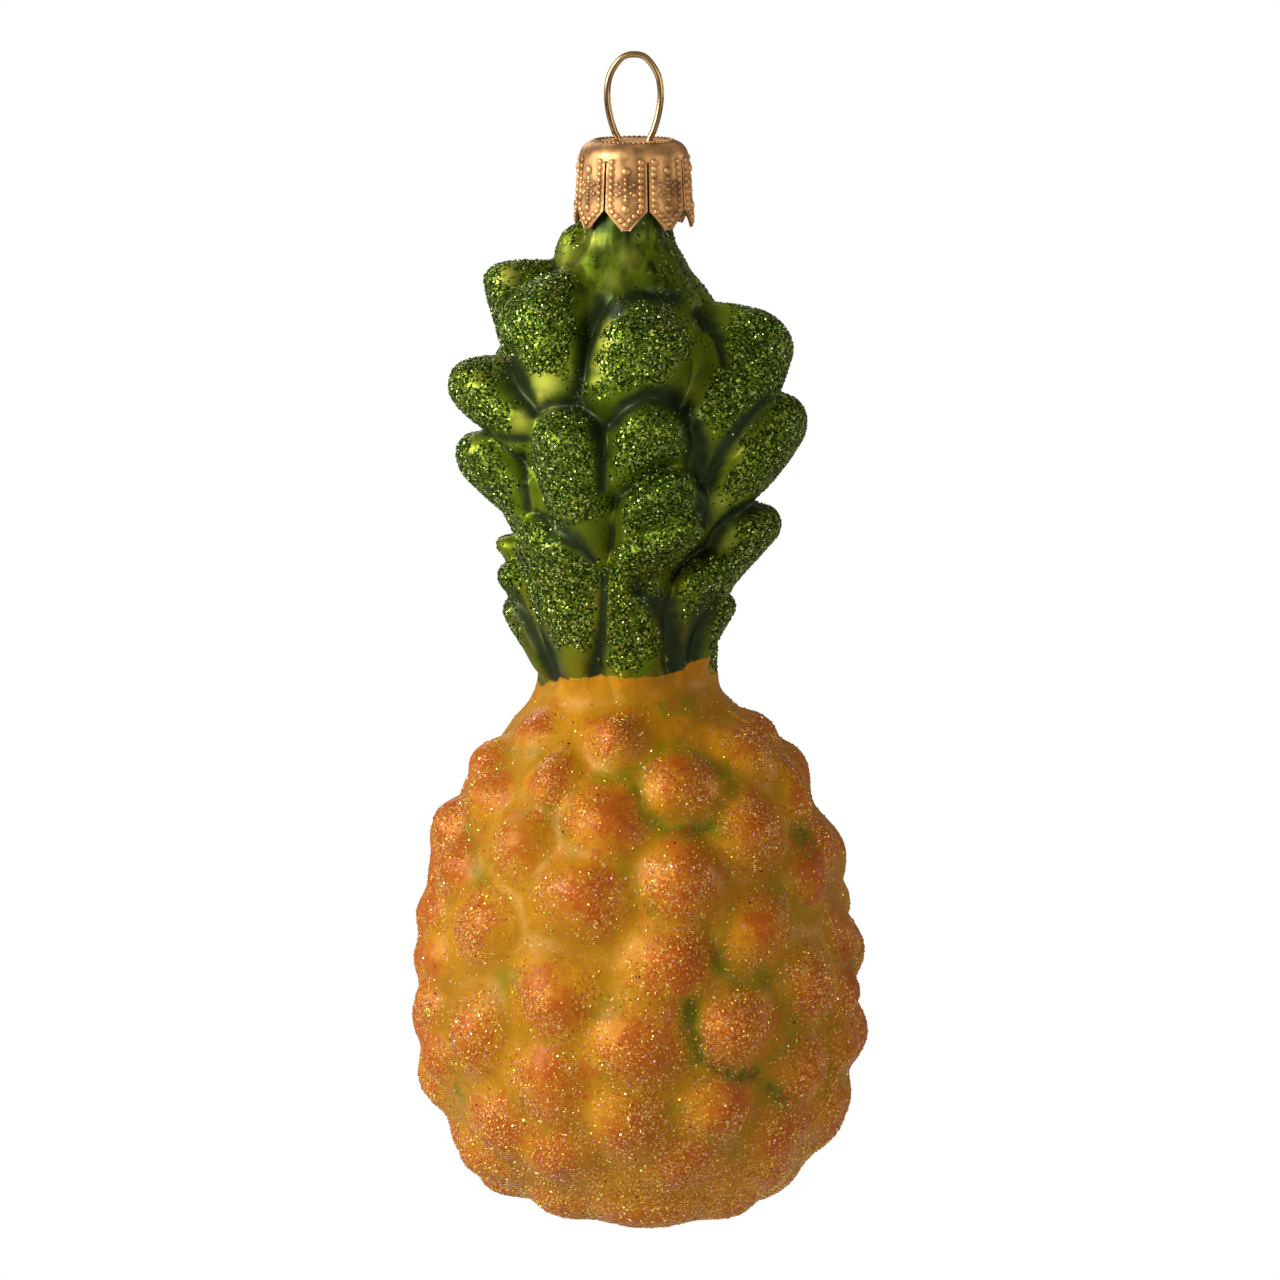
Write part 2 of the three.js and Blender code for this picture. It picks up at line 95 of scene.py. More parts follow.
class Finish(Tree):
    """A material with one principled surface."""

    def __init__(self, name, **principled):
        self.material = bpy.data.materials.new(name)
        self.material.use_nodes = True
        super().__init__(self.material.node_tree, "ShaderNode")
        self.surface = self.nodes["Principled BSDF"]
        self.fill(self.surface, {key.replace("_", " "): v for key, v in principled.items()})

    def place(self):
        """Where a point is on the piece, in metres."""
        return self.add("TexCoord").outputs["Object"]

    def attribute(self, name):
        return self.add("Attribute", attribute_name=name).outputs["Fac"]

    def noise(self, scale, detail=2.0, roughness=0.5, distortion=0.0, tall=1.0):
        """Smooth random values from 0 to 1, drawn out along Z where tall is above 1."""
        place = self.place()
        if tall != 1.0:
            place = self.add("Mapping", {"Vector": place, "Scale": (1, 1, 1 / tall)}).outputs[0]
        return self.add("TexNoise", {
            "Vector": place, "Scale": scale, "Detail": detail,
            "Roughness": roughness, "Distortion": distortion}).outputs["Fac"]

    def plus(self, a, b):
        return self.maths("ADD", a, b)

    def times(self, a, b):
        return self.maths("MULTIPLY", a, b)

    def ease(self, value, low, high, at_low=0.0, at_high=1.0):
        """A value turned smoothly from one level to another between low and high."""
        return self.add("MapRange", {
            "Value": value, "From Min": low, "From Max": high,
            "To Min": at_low, "To Max": at_high},
            interpolation_type="SMOOTHSTEP").outputs["Result"]

    def blend(self, share, a, b, way="MIX"):
        """Colour a, giving way to colour b as the share goes from 0 to 1."""
        a, b = (c if isinstance(c, bpy.types.NodeSocket) else (*c, 1.0) for c in (a, b))
        return self.add("Mix", {0: share, 6: a, 7: b}, data_type="RGBA", blend_type=way,
                        clamp_factor=True).outputs[2]

    def steps(self, pick, colours):
        """One of a few colours, chosen by a value from 0 to 1."""
        ramp = self.add("ValToRGB", {"Fac": pick})
        ramp.color_ramp.interpolation = "CONSTANT"
        stops = ramp.color_ramp.elements
        stops.remove(stops[1])
        stops[0].color = (*colours[0], 1)
        for i, colour in enumerate(colours[1:], 1):
            stops.new(i / len(colours)).color = (*colour, 1)
        return ramp.outputs["Color"]


def add_object(name, data):
    """A new object in the scene that shows a mesh, a lamp or the camera."""
    thing = bpy.data.objects.new(name, data)
    scene.collection.objects.link(thing)
    return thing


def new_mesh(name, points, faces, *materials, smooth_faces=True):
    """A mesh from points in metres."""
    mesh = bpy.data.meshes.new(name)
    mesh.from_pydata(np.asarray(points).tolist(), [], [tuple(map(int, face)) for face in faces])
    mesh.polygons.foreach_set("use_smooth", [smooth_faces] * len(mesh.polygons))
    for material in materials:
        mesh.materials.append(material)
    mesh.update()
    return mesh


def plain_copy(name, carrier):
    """What a carrier's modifiers make of it, as a plain object. The carrier goes."""
    ready = carrier.evaluated_get(bpy.context.evaluated_depsgraph_get())
    mesh = bpy.data.meshes.new_from_object(ready)
    mesh.name = name
    bpy.data.objects.remove(carrier)
    return add_object(name, mesh)


def report(piece):
    print(piece.name, "triangles:", sum(len(p.vertices) - 2 for p in piece.data.polygons))


print("helpers are ready")

# %% [markdown]
# ## The camera
#
# A small thing is best looked at from far away through a long lens, so that it isn't distorted. The
# camera stands about 0.7 m off and a little above, and looks down 9 degrees. Its picture takes in
# 128 mm across at the ornament. The origin is at the top of the wire loop, so everything else is
# below zero.

# %% Camera
CAMERA_TILT = math.radians(9)
CAMERA_DISTANCE = 0.711
AIM = (0.0006, 0.0, -0.0582)
LENS, SENSOR = 200, 36

camera = add_object("camera", bpy.data.cameras.new("camera"))
camera.data.lens, camera.data.sensor_width = LENS, SENSOR
camera.location = (
    AIM[0],
    AIM[1] - CAMERA_DISTANCE * math.cos(CAMERA_TILT),
    AIM[2] + CAMERA_DISTANCE * math.sin(CAMERA_TILT),
)
camera.rotation_euler = (math.radians(90) - CAMERA_TILT, 0, 0)
scene.camera = camera
print("camera stands at", [round(v, 3) for v in camera.location])

# %% [markdown]
# ## The studio
#
# Glitter and satin metal show what is around them, so the light matters as much as the paint. A
# large soft lamp high at the front left gives most of it. A weaker one fills the right side, and a
# small one in front puts a glint on the middle. A fourth lights the top from behind, and two small
# ones behind the left and the right draw the edges.
#
# The surroundings look pale but give little light, so that the flakes have something dark to
# reflect as well. The floor lies far below the hanging ornament. The camera sees it as white, so it
# fills the picture evenly, while its own grey throws a little light up.

# %% Lamps, surroundings and floor
LAMPS = [  # name, place and size in metres, watts, colour
    ("key lamp", (-1.06, -0.54, 0.42), 0.8, 18.0, (1.0, 0.95, 0.86)),
    ("fill lamp", (0.8, -0.8, 0.1), 0.5, 2.0, (1.0, 0.9, 0.76)),
    ("front lamp", (-0.3, -1.15, 0.4), 0.3, 0.65, (1.0, 0.94, 0.84)),
    ("back lamp", (-0.35, 0.85, 0.5), 0.5, 2.0, (1.0, 0.96, 0.9)),
    ("left rim lamp", (-0.9, 0.5, 0.0), 0.3, 0.7, (1.0, 0.96, 0.9)),
    ("right rim lamp", (0.95, 0.4, 0.05), 0.3, 0.8, (1.0, 0.94, 0.86)),
]
SURROUNDINGS_LIGHT = {"Color": (1.0, 0.88, 0.66, 1), "Strength": 0.24}
FLOOR_HEIGHT, FLOOR_HALF, FLOOR_GREY = -0.42, 8.0, 0.68


def add_lamp(name, place, size, watts, colour):
    """A square soft lamp that faces the ornament's middle."""
    lamp = bpy.data.lights.new(name, "AREA")
    lamp.energy, lamp.size, lamp.color = watts, size, colour
    holder = add_object(name, lamp)
    holder.location = place
    away = np.array(place) - np.array(AIM)
    turn = math.atan2(away[0], -away[1])
    tilt = math.atan2(math.hypot(away[0], away[1]), away[2])
    holder.rotation_euler = (tilt, 0, turn)


for lamp in LAMPS:
    add_lamp(*lamp)

scene.world = bpy.data.worlds.new("surroundings")
scene.world.use_nodes = True
sky = Tree(scene.world.node_tree, "ShaderNode")
sky.nodes.clear()
pale = sky.add("Background", {"Strength": 1.0}).outputs[0]
dim = sky.add("Background", SURROUNDINGS_LIGHT).outputs[0]
sky.add("OutputWorld", {"Surface": sky.by_sight(dim, pale)})

floor_finish = Finish("pale floor", Base_Color=(FLOOR_GREY, FLOOR_GREY, FLOOR_GREY, 1),
                      Roughness=0.8)
white = floor_finish.add("Emission", {"Color": (1, 1, 1, 1), "Strength": 1.0}).outputs[0]
floor_finish.fill(floor_finish.nodes["Material Output"], {
    "Surface": floor_finish.by_sight(floor_finish.surface.outputs["BSDF"], white)})
corners = [(x * FLOOR_HALF, y * FLOOR_HALF, FLOOR_HEIGHT)
           for x, y in ((-1, -1), (1, -1), (1, 1), (-1, 1))]
floor = add_object("floor", new_mesh(
    "floor", corners, [(0, 1, 2, 3)], floor_finish.material, smooth_faces=False))
scene.view_settings.view_transform = "Standard"

# %% [markdown]
# ## The section of the glass
#
# The bubble is round before the mould presses its pattern in, so it starts from a section: radius
# and height at the bottom of the grooves, from the lowest point to the top of the neck. A smooth
# curve runs through these measured points, all in millimetres above the lowest point. Hand
# blowing leaves the axis a little crooked, and the drift list says by how much.

# %% Section, drift and where leaves point
HOOK_HEIGHT = 116.8
GLASS_TOP = 107.8
NECK_R = 4.55
WALL = 1.0
SECTION = [  # radius, height
    (0, 0), (8, 0.9), (13.4, 3.3), (17.1, 7.6), (19.9, 14), (20.9, 21.5), (20.5, 29.6),
    (18.9, 37.8), (16.0, 45), (12.6, 49.8), (9.9, 52.7), (8.6, 55.5), (8.7, 59.2), (9.8, 64.8),
    (11.4, 70.3), (12.5, 76.4), (12.5, 82.5), (10.9, 88.6), (8.3, 93.4), (6.4, 96.2), (4.8, 98.9),
    (NECK_R, 101.5), (NECK_R, GLASS_TOP),
]
DRIFT = [  # across, height
    (1.3, 0), (0.6, 14), (0.6, 40), (0.2, 48), (-1.2, 58), (-0.3, 72), (-0.9, 96),
    (-0.2, GLASS_TOP),
]
CROWN_FOOT, CROWN_BLEND = 54.5, 4
LEAF_LIFT = (math.radians(12), math.radians(18))
LIFT_BETWEEN = (58, 90)
CURVE_STEPS = 1200


def smooth(value, low, high):
    """0 below low, easing up to 1 at high."""
    share = np.clip((np.asarray(value, float) - low) / (high - low), 0, 1)
    return share * share * (3 - 2 * share)


def fading(value, low, high):
    """1 below low, easing down to 0 at high."""
    return smooth(-np.asarray(value, float), -high, -low)


def between(p1, p2, v1, v2, t):
    """A curve from p1 to p2 that leaves at speed v1 and arrives at speed v2."""
    return (2 * p1 - 2 * p2 + v1 + v2) * t**3 + (3 * p2 - 3 * p1 - 2 * v1 - v2) * t**2 + v1 * t + p1


def smooth_curve(points, samples):
    """Points along a curve through the given ones, evenly many between each pair."""
    points = np.array(points, float)
    last = len(points) - 1
    place = np.linspace(0, last, samples + 1)
    i = np.minimum(place.astype(int), last)
    t = (place - i)[:, None]
    p1, p2 = points[i], points[np.minimum(i + 1, last)]
    v0 = (p2 - points[np.maximum(i - 1, 0)]) / 2
    v1 = (points[np.minimum(i + 2, last)] - p1) / 2
    return between(p1, p2, v0, v1, t)


curve = smooth_curve(SECTION, CURVE_STEPS)
WALL_R = np.maximum(curve[:, 0], 0)
WALL_Z = curve[:, 1]
WALL_LENGTH = np.concatenate([[0], np.cumsum(np.hypot(*np.diff(curve, axis=0).T))])


def length_at(z):
    return np.interp(z, WALL_Z, WALL_LENGTH)


def radius_at(length):
    return np.interp(length, WALL_LENGTH, WALL_R)


def height_at(length):
    return np.interp(length, WALL_LENGTH, WALL_Z)


def drift_at(z):
    """How far the axis has wandered across at a height."""
    z = np.asarray(z, float)
    offset = np.full(z.shape, float(DRIFT[0][0]))
    for (a, low), (b, high) in zip(DRIFT, DRIFT[1:]):
        offset = np.where(z > low, a + (b - a) * smooth(z, low, high), offset)
    return offset


def wall_at(length):
    """The bare wall at a length from its lowest point: that length, its radius and height, how
    much relief there goes outward and upward, and how square to the wall it goes."""
    step = 0.4
    length = np.asarray(length, float)
    r, z = radius_at(length), height_at(length)
    dr = radius_at(length + step) - radius_at(length - step)
    dz = height_at(length + step) - height_at(length - step)
    square = np.arctan2(-dr, dz)
    lift = LEAF_LIFT[0] + (LEAF_LIFT[1] - LEAF_LIFT[0]) * smooth(z, *LIFT_BETWEEN)
    share = smooth(z, CROWN_FOOT, CROWN_FOOT + CROWN_BLEND)
    rise = square + (lift - square) * share
    return length, r, z, np.cos(rise), np.sin(rise), np.cos(rise - square)


def point_on(wall, turn, relief=0.0):
    """Points on the wall raised by relief, turned from the front (-Y) towards +X."""
    _, r, z, out, up, _ = wall
    r = r + relief * out
    return np.stack(np.broadcast_arrays(
        r * np.sin(turn) + drift_at(z), -r * np.cos(turn), z + relief * up), -1)


print("section length:", round(float(WALL_LENGTH[-1]), 1), "mm")

# %% [markdown]
# ## Setting out the pattern
#
# On the mould's front the eyes and leaves are listed one by one, as where each one is seen from
# straight ahead: across from the neck's axis and up from the lowest point in sight. One function
# turns such a sighting into a place on the wall. The sides and the back follow a rule with a little
# seeded unevenness: rows of eyes and tiers of leaves, each half a step on from the last.

# %% Where each eye and leaf is
SIGHT_LEVEL = (58.6, 59.3)  # where the middle is seen, and where it is
SIGHT_ROUNDS = 20
FRONT_EYES = [  # across, up, reach, rise
    (-10.7, 49.4, 3.0, 1.1), (-2.2, 49.1, 3.4, 1.9), (12.0, 48.1, 3.9, 1.5),
    (-8.9, 44.8, 3.4, 1.9), (4.7, 44.1, 4.2, 2.0), (-15.8, 46.4, 3.4, 1.9),
    (14.0, 49.4, 3.2, 1.2), (-15.5, 43.1, 3.4, 1.7), (15.6, 45.2, 3.3, 1.1),
    (-3.4, 40.6, 4.5, 2.0), (-12.2, 38.1, 4.1, 2.1), (12.7, 39.6, 4.3, 1.9),
    (17.0, 42.4, 3.4, 1.3), (-19.6, 40.3, 3.6, 2.9), (5.0, 34.8, 4.8, 2.2),
    (-18.8, 35.8, 3.8, 2.2), (-6.0, 33.1, 4.8, 2.1), (20.0, 37.6, 3.6, 1.7),
    (18.2, 34.8, 4.2, 1.8), (-16.4, 29.8, 4.5, 2.2), (13.0, 29.6, 4.3, 2.1),
    (-20.9, 31.1, 3.4, 2.2), (22.0, 28.0, 3.9, 1.7), (3.6, 26.1, 4.6, 2.0),
    (-20.9, 26.4, 3.4, 2.0), (-8.6, 22.2, 5.0, 2.1), (18.7, 23.6, 4.2, 2.1),
    (-17.0, 18.4, 4.5, 2.4), (11.2, 19.6, 4.7, 2.3), (-21.5, 21.1, 3.4, 2.1),
    (22.2, 22.8, 3.2, 2.2), (22.2, 17.8, 3.4, 2.1), (0.4, 17.6, 5.2, 2.2),
    (-20.6, 15.6, 3.9, 1.9), (-8.9, 13.6, 4.9, 2.1), (18.0, 15.1, 4.2, 2.0),
    (20.6, 11.5, 4.0, 1.9), (-14.4, 9.2, 4.4, 2.0), (-1.0, 9.6, 4.8, 1.9),
    (9.0, 11.4, 4.6, 2.1), (-8.4, 6.6, 4.3, 1.5), (15.4, 8.8, 4.2, 1.1),
    (4.6, 5.8, 4.3, 1.2), (-16.0, 5.0, 4.0, 2.4), (14.4, 4.4, 4.0, 1.1),
]
SIDE_EYES = [  # turn in degrees, height, reach, rise
    (-92, 43.8, 3.6, 0.8), (-94, 38.4, 4.0, 2.2), (-92, 34.8, 3.8, 1.4), (-94, 30.2, 4.0, 1.8),
    (-96, 25.4, 4.2, 1.8), (-90, 19.6, 4.4, 1.8), (-92, 13.8, 4.4, 2.2), (-90, 7.6, 4.6, 1.9),
    (-80, 4.4, 4.2, 2.4), (94, 45.6, 3.8, 1.4), (88, 37.0, 4.2, 1.4), (92, 27.4, 4.2, 1.6),
    (90, 18.6, 4.8, 2.1), (96, 11.8, 4.6, 1.9), (88, 9.4, 4.4, 1.6), (84, 3.0, 4.6, 1.0),
]
EYE_SKIRT, EYE_SWELL, EYE_FALL_OFF = 1.36, 1.15, 2.5
FRONT_LEAVES = [  # tip across and up, root across and up, half width, rise
    (-6.5, 99.4, -7.6, 93.4, 2.2, 1.6), (-14.9, 96.2, -11.2, 86.0, 3.7, 6.1),
    (-9.4, 95.3, -8.6, 81.0, 6.0, 4.6), (2.2, 92.6, -1.2, 79.0, 6.2, 4.8),
    (13.8, 91.2, 6.8, 76.2, 5.6, 5.7), (16.3, 82.7, 8.2, 70.4, 5.1, 5.5),
    (13.8, 72.9, 8.8, 62.2, 5.1, 4.6), (-17.7, 85.2, -10.4, 78.0, 4.4, 6.1),
    (-17.2, 78.4, -10.9, 70.8, 4.6, 5.3), (-7.4, 81.2, -5.4, 66.0, 5.0, 4.2),
    (3.4, 82.1, -0.4, 71.4, 4.9, 4.2), (5.6, 75.2, 0.2, 62.6, 5.4, 4.6),
    (-10.4, 71.2, -5.8, 53.6, 6.2, 3.2), (-0.2, 66.4, 0.8, 53.0, 4.5, 2.4),
    (5.6, 63.4, 5.4, 54.0, 2.4, 1.6), (9.6, 67.4, 6.0, 58.4, 4.0, 3.4),
    (10.1, 63.3, 6.9, 54.6, 2.8, 2.9), (-13.7, 69.0, -12.2, 64.4, 2.2, 2.6),
    (-13.3, 66.4, -10.4, 59.0, 3.0, 3.2), (-12.9, 63.0, -9.0, 54.6, 2.8, 3.2),
]
LEAF = dict(root_width=0.7, root_rise=0.3, corner=2.3, shoulder=2.8, edge=1.2, start=-0.15,
            shortest_stem=0.45, tip_seen=0.7, root_seen=0.3, middle_seen=0.4)
LEAF_FACE = dict(beside=(0.7, 0.95), dome=(0.02, 0.3), along=(-0.1, 0.3))
BACK_EYES = dict(first=6, last=62, pitch=6.3, spacing=8.2, reach=4.4, rise=1.9, gap=6.2, edge=84)
BACK_LEAVES = dict(step=34, gap=5.8, edge=95, length=12.5)
BACK_TIERS = [  # height, half width, rise
    (60.5, 3.6, 1.5), (66.5, 4.1, 2.8), (72.5, 4.4, 3.8), (78.5, 4.7, 4.8),
    (84.5, 4.8, 5.6), (90.5, 4.7, 4.6), (94.5, 4.0, 3.0),
]
STRAY = dict(eye_size=0.1, eye_turn=0.1, eye_length=0.5, leaf_size=0.08, tip=4, root=7, tip_up=0.75)
SEED = 11
DRAW_TIMES, DRAW_PLUS, DRAW_RANGE = 1664525, 1013904223, 2**32
drawn = SEED


def uneven(value, spread):
    """A value moved up or down by no more than spread, the same way on every run."""
    global drawn
    drawn = (drawn * DRAW_TIMES + DRAW_PLUS) % DRAW_RANGE
    return value + spread * (2 * drawn / DRAW_RANGE - 1)


def sighted(across, up, proud):
    """Turn and wall height under something seen there that stands this proud of the wall."""
    seen_level, real_level = SIGHT_LEVEL
    z, turn = up, 0.0
    for _ in range(SIGHT_ROUNDS):
        _, r, wall_z, out, rise, _ = wall_at(length_at(z))
        r = r + proud * out
        turn = math.asin(min(max((across - drift_at(wall_z)) / r, -1), 1))
        forward = r * math.cos(turn)
        above = (up - seen_level + forward * math.sin(CAMERA_TILT)) / math.cos(CAMERA_TILT)
        z = real_level + above - proud * rise
    return turn, float(z)


def round_the_back(step, row, widest):
    """Turns either side of the middle of the back, with every other row half a step on."""
    turn = (row % 2) * step * 0.5
    while turn < widest:
        yield math.pi + turn
        if turn > 0:
            yield math.pi - turn
        turn += step


def eye_at(turn, length, reach, rise):
    """An eye on the wall, with the skirt and swell that the glass adds to it."""
    return dict(centre=point_on(wall_at(length), turn), turn=turn, length=length,
                reach=EYE_SKIRT * reach, rise=EYE_SWELL * rise)


def set_out_eyes():
    eyes = []
    for across, up, reach, rise in FRONT_EYES:
        turn, z = sighted(across, up, rise)
        eyes.append(eye_at(turn, float(length_at(z)), reach, rise))
    for turn, up, reach, rise in SIDE_EYES:
        eyes.append(eye_at(math.radians(turn), float(length_at(up)), reach, rise))
    chosen = list(eyes)
    rule = BACK_EYES
    row, length = 0, rule["first"]
    while length < rule["last"]:
        step = rule["spacing"] / float(radius_at(length))
        widest = math.pi if length < 2 * rule["pitch"] else math.radians(rule["edge"])
        for turn in round_the_back(step, row, widest):
            size = uneven(1, STRAY["eye_size"])
            turn = uneven(turn, STRAY["eye_turn"] * step)
            place = uneven(length, STRAY["eye_length"])
            eye = eye_at(turn, place, rule["reach"] * size, rule["rise"] * size)
            if all(np.linalg.norm(eye["centre"] - c["centre"]) > rule["gap"] for c in chosen):
                eyes.append(eye)
        row, length = row + 1, length + rule["pitch"]
    return eyes


def leaf_at(tip, root, half_width, rise):
    """A leaf from a root to a tip, each a turn and a height on the wall."""
    tip_length, root_length = float(length_at(tip[1])), float(length_at(root[1]))
    r = float(radius_at((tip_length + root_length) / 2)) + LEAF["middle_seen"] * rise
    across = r * math.remainder(tip[0] - root[0], 2 * math.pi)
    along = tip_length - root_length
    size = math.hypot(across, along)
    return dict(turn=root[0], length=root_length, r=r, size=size, half_width=half_width, rise=rise,
                way=(across / size, along / size), head=point_on(wall_at(tip_length), tip[0]))


def set_out_leaves():
    leaves = []
    for tip_across, tip_up, root_across, root_up, half_width, rise in FRONT_LEAVES:
        tip = sighted(tip_across, tip_up, LEAF["tip_seen"] * rise)
        root = sighted(root_across, root_up, LEAF["root_seen"] * rise)
        leaves.append(leaf_at(tip, root, half_width, rise))
    front = list(leaves)
    rule = BACK_LEAVES
    for tier, (up, half_width, rise) in enumerate(BACK_TIERS):
        for middle in round_the_back(math.radians(rule["step"]), tier, math.radians(rule["edge"])):
            size = uneven(1, STRAY["leaf_size"])
            lifted = LEAF["tip_seen"] * rise * float(wall_at(length_at(up))[4])
            tip = (uneven(middle, math.radians(STRAY["tip"])), uneven(up - lifted, STRAY["tip_up"]))
            root = (uneven(tip[0], math.radians(STRAY["root"])),
                    max(tip[1] - rule["length"], CROWN_FOOT - 1))
            leaf = leaf_at(tip, root, half_width * size, rise * size)
            if all(np.linalg.norm(leaf["head"] - c["head"]) > rule["gap"] for c in front):
                leaves.append(leaf)
    return leaves


EYES = set_out_eyes()
LEAVES = set_out_leaves()
print(len(EYES), "eyes and", len(LEAVES), "leaves")

# %% [markdown]
# ## Pressing the pattern into the glass
#
# The mould pushes the wall out into eyes and leaves. Each eye is a low round hill. Each leaf is a
# tongue that grows wider and higher towards its rounded head. Where two meet, the glass flows
# across, so the highest one wins with a soft join. A logarithm of summed powers does that: the
# larger its sharpness, the sharper the groove between two neighbours.

# %% Relief of eyes and leaves
SHARPNESS = (1.2, 2.0)  # on the fruit, and on the crown
POLE_FADE = (0.2, 6, 23)  # what is left of the relief at the pole, and where it begins and ends
WANDER, LUMP = 0.35, 0.09
BLUR_ROUNDS = 3


def softened(field, rows, columns):
    """Average over a box, repeated so that it nears a round blur. Columns wrap round."""
    for _ in range(BLUR_ROUNDS):
        padded = np.pad(field, ((rows, rows), (0, 0)), mode="edge")
        padded = np.pad(padded, ((0, 0), (columns, columns)), mode="wrap")
        summed = np.pad(padded.cumsum(0).cumsum(1), ((1, 0), (1, 0)))
        tall, wide = 2 * rows + 1, 2 * columns + 1
        field = (summed[tall:, wide:] - summed[:-tall, wide:] - summed[tall:, :-wide]
                 + summed[:-tall, :-wide]) / (tall * wide)
    return field


def lumps(shape, size, stream):
    """Smooth random unevenness about 1 high, the same on every run, for a grid of places."""
    rough = np.random.default_rng(SEED + stream).uniform(-1, 1, shape)
    even = softened(rough, size, size)
    return even / even.std()


def eye_share(eye, points):
    """1 on top of an eye, down to 0 at its foot."""
    out = np.linalg.norm(points - eye["centre"], axis=-1) / eye["reach"]
    return np.clip(1 - out * out, 0, 1) ** EYE_FALL_OFF


def leaf_shares(leaf, wall, turn):
    """Height of a leaf at each place, and how much glitter its face takes there, both 0 to 1."""
    x = leaf["r"] * np.mod(turn - leaf["turn"] + math.pi, 2 * math.pi) - leaf["r"] * math.pi
    y = wall[0] - leaf["length"]
    along = (x * leaf["way"][0] + y * leaf["way"][1]) / leaf["size"]
    aside = x * leaf["way"][1] - y * leaf["way"][0]
    head = max(1 - leaf["half_width"] / leaf["size"], LEAF["shortest_stem"])
    wider = LEAF["root_width"] + (1 - LEAF["root_width"]) * smooth(along, LEAF["start"], head)
    past = np.clip((along - head) / (1 - head), 0, 1)
    beside = np.abs(aside / (leaf["half_width"] * wider))
    corner = LEAF["corner"]
    out = np.minimum((beside**corner + past**corner) ** (1 / corner), 1)
    climb = np.clip(LEAF["root_rise"] + (1 - LEAF["root_rise"]) * along / head, 0, 1)
    start = smooth(along, LEAF["start"], -LEAF["start"])
    inside = (along > LEAF["start"]) & (along < 1) & (out < 1)
    dome = (1 - out ** LEAF["shoulder"]) ** LEAF["edge"]
    dusted = (fading(beside, *LEAF_FACE["beside"]) * smooth(dome, *LEAF_FACE["dome"])
              * smooth(along, *LEAF_FACE["along"]))
    return np.where(inside, climb * start * dome, 0), np.where(inside, dusted, 0)


def pressed(wall, turn):
    """Relief at each place, and the marks of the pattern that the paint and glitter follow."""
    points = point_on(wall, turn)
    shape = points.shape[:2]
    points = points + WANDER * np.stack([lumps(shape, 5, stream) for stream in (1, 2, 3)], -1)
    crown = smooth(wall[2], CROWN_FOOT - CROWN_BLEND, CROWN_FOOT)
    sharpness = SHARPNESS[0] + (SHARPNESS[1] - SHARPNESS[0]) * crown
    total = np.ones(shape)
    tip, face = np.zeros_like(total), np.zeros_like(total)
    for eye in EYES:
        share = eye_share(eye, points)
        total += np.expm1(sharpness * eye["rise"] * share)
        tip = np.maximum(tip, share)
    for leaf in LEAVES:
        share, dusted = leaf_shares(leaf, wall, turn)
        share = share * crown
        total += np.expm1(sharpness * leaf["rise"] * share)
        face = np.maximum(face, dusted * crown)
    fade = POLE_FADE[0] + (1 - POLE_FADE[0]) * smooth(wall[0], *POLE_FADE[1:])
    uneven_glass = LUMP * lumps(shape, 4, 4) * fade
    return fade * np.log(total) / sharpness + uneven_glass, tip, face


print("relief of the first leaf:", LEAVES[0]["rise"], "mm")

# %% [markdown]
# ## Seams and the grid
#
# A two-part mould leaves a fine raised line where its halves met, on the right a little forward of
# the side and on the left a little behind it. The grid of points that carries the relief gets a few
# more columns there. Rows are closer together in the crown, where the leaves are steep.

# %% Rows, columns and seams
SEAMS = (math.radians(66), math.radians(246))
SEAM_HEIGHT, SEAM_WIDTH = 0.14, 0.32
SEAM_STARTS, SEAM_ENDS = (2, 8), (50, 54)
EVEN_COLUMNS = 296
SEAM_COLUMNS = (-0.018, -0.006, 0.006, 0.018)
ROW_BANDS = [  # from, to, rows
    (0, 55.5, 130), (55.5, 101.5, 162), (101.5, GLASS_TOP, 8),
]


def seam_turns():
    """Even turns round the glass with four more at each seam."""
    turns = list(np.arange(EVEN_COLUMNS) * 2 * math.pi / EVEN_COLUMNS)
    for seam in SEAMS:
        turns += [seam + step for step in SEAM_COLUMNS]
    return np.array(sorted(turns))


def band_lengths():
    """Where each row lies along the wall."""
    rows = []
    for low, high, count in ROW_BANDS:
        start, end = length_at(low), length_at(high)
        rows += list(start + (end - start) * (np.arange(count) + 1) / count)
    return np.array(rows)


def aside_of(turn):
    """How far each place is from a line straight up the wall at a turn, in millimetres."""
    return wall[1] * (np.mod(turns[None, :] - turn + math.pi, 2 * math.pi) - math.pi)


turns = seam_turns()
wall = wall_at(band_lengths()[:, None])
relief, eye_tip, leaf_face = pressed(wall, turns[None, :])
seam_line = np.zeros_like(relief)
for seam in SEAMS:
    seam_line += (np.exp(-(aside_of(seam) / SEAM_WIDTH) ** 2)
                  * smooth(wall[2], *SEAM_STARTS) * fading(wall[2], *SEAM_ENDS))
relief = relief + SEAM_HEIGHT * seam_line
print("grid:", relief.shape, "highest relief:", round(float(relief.max()), 2), "mm")
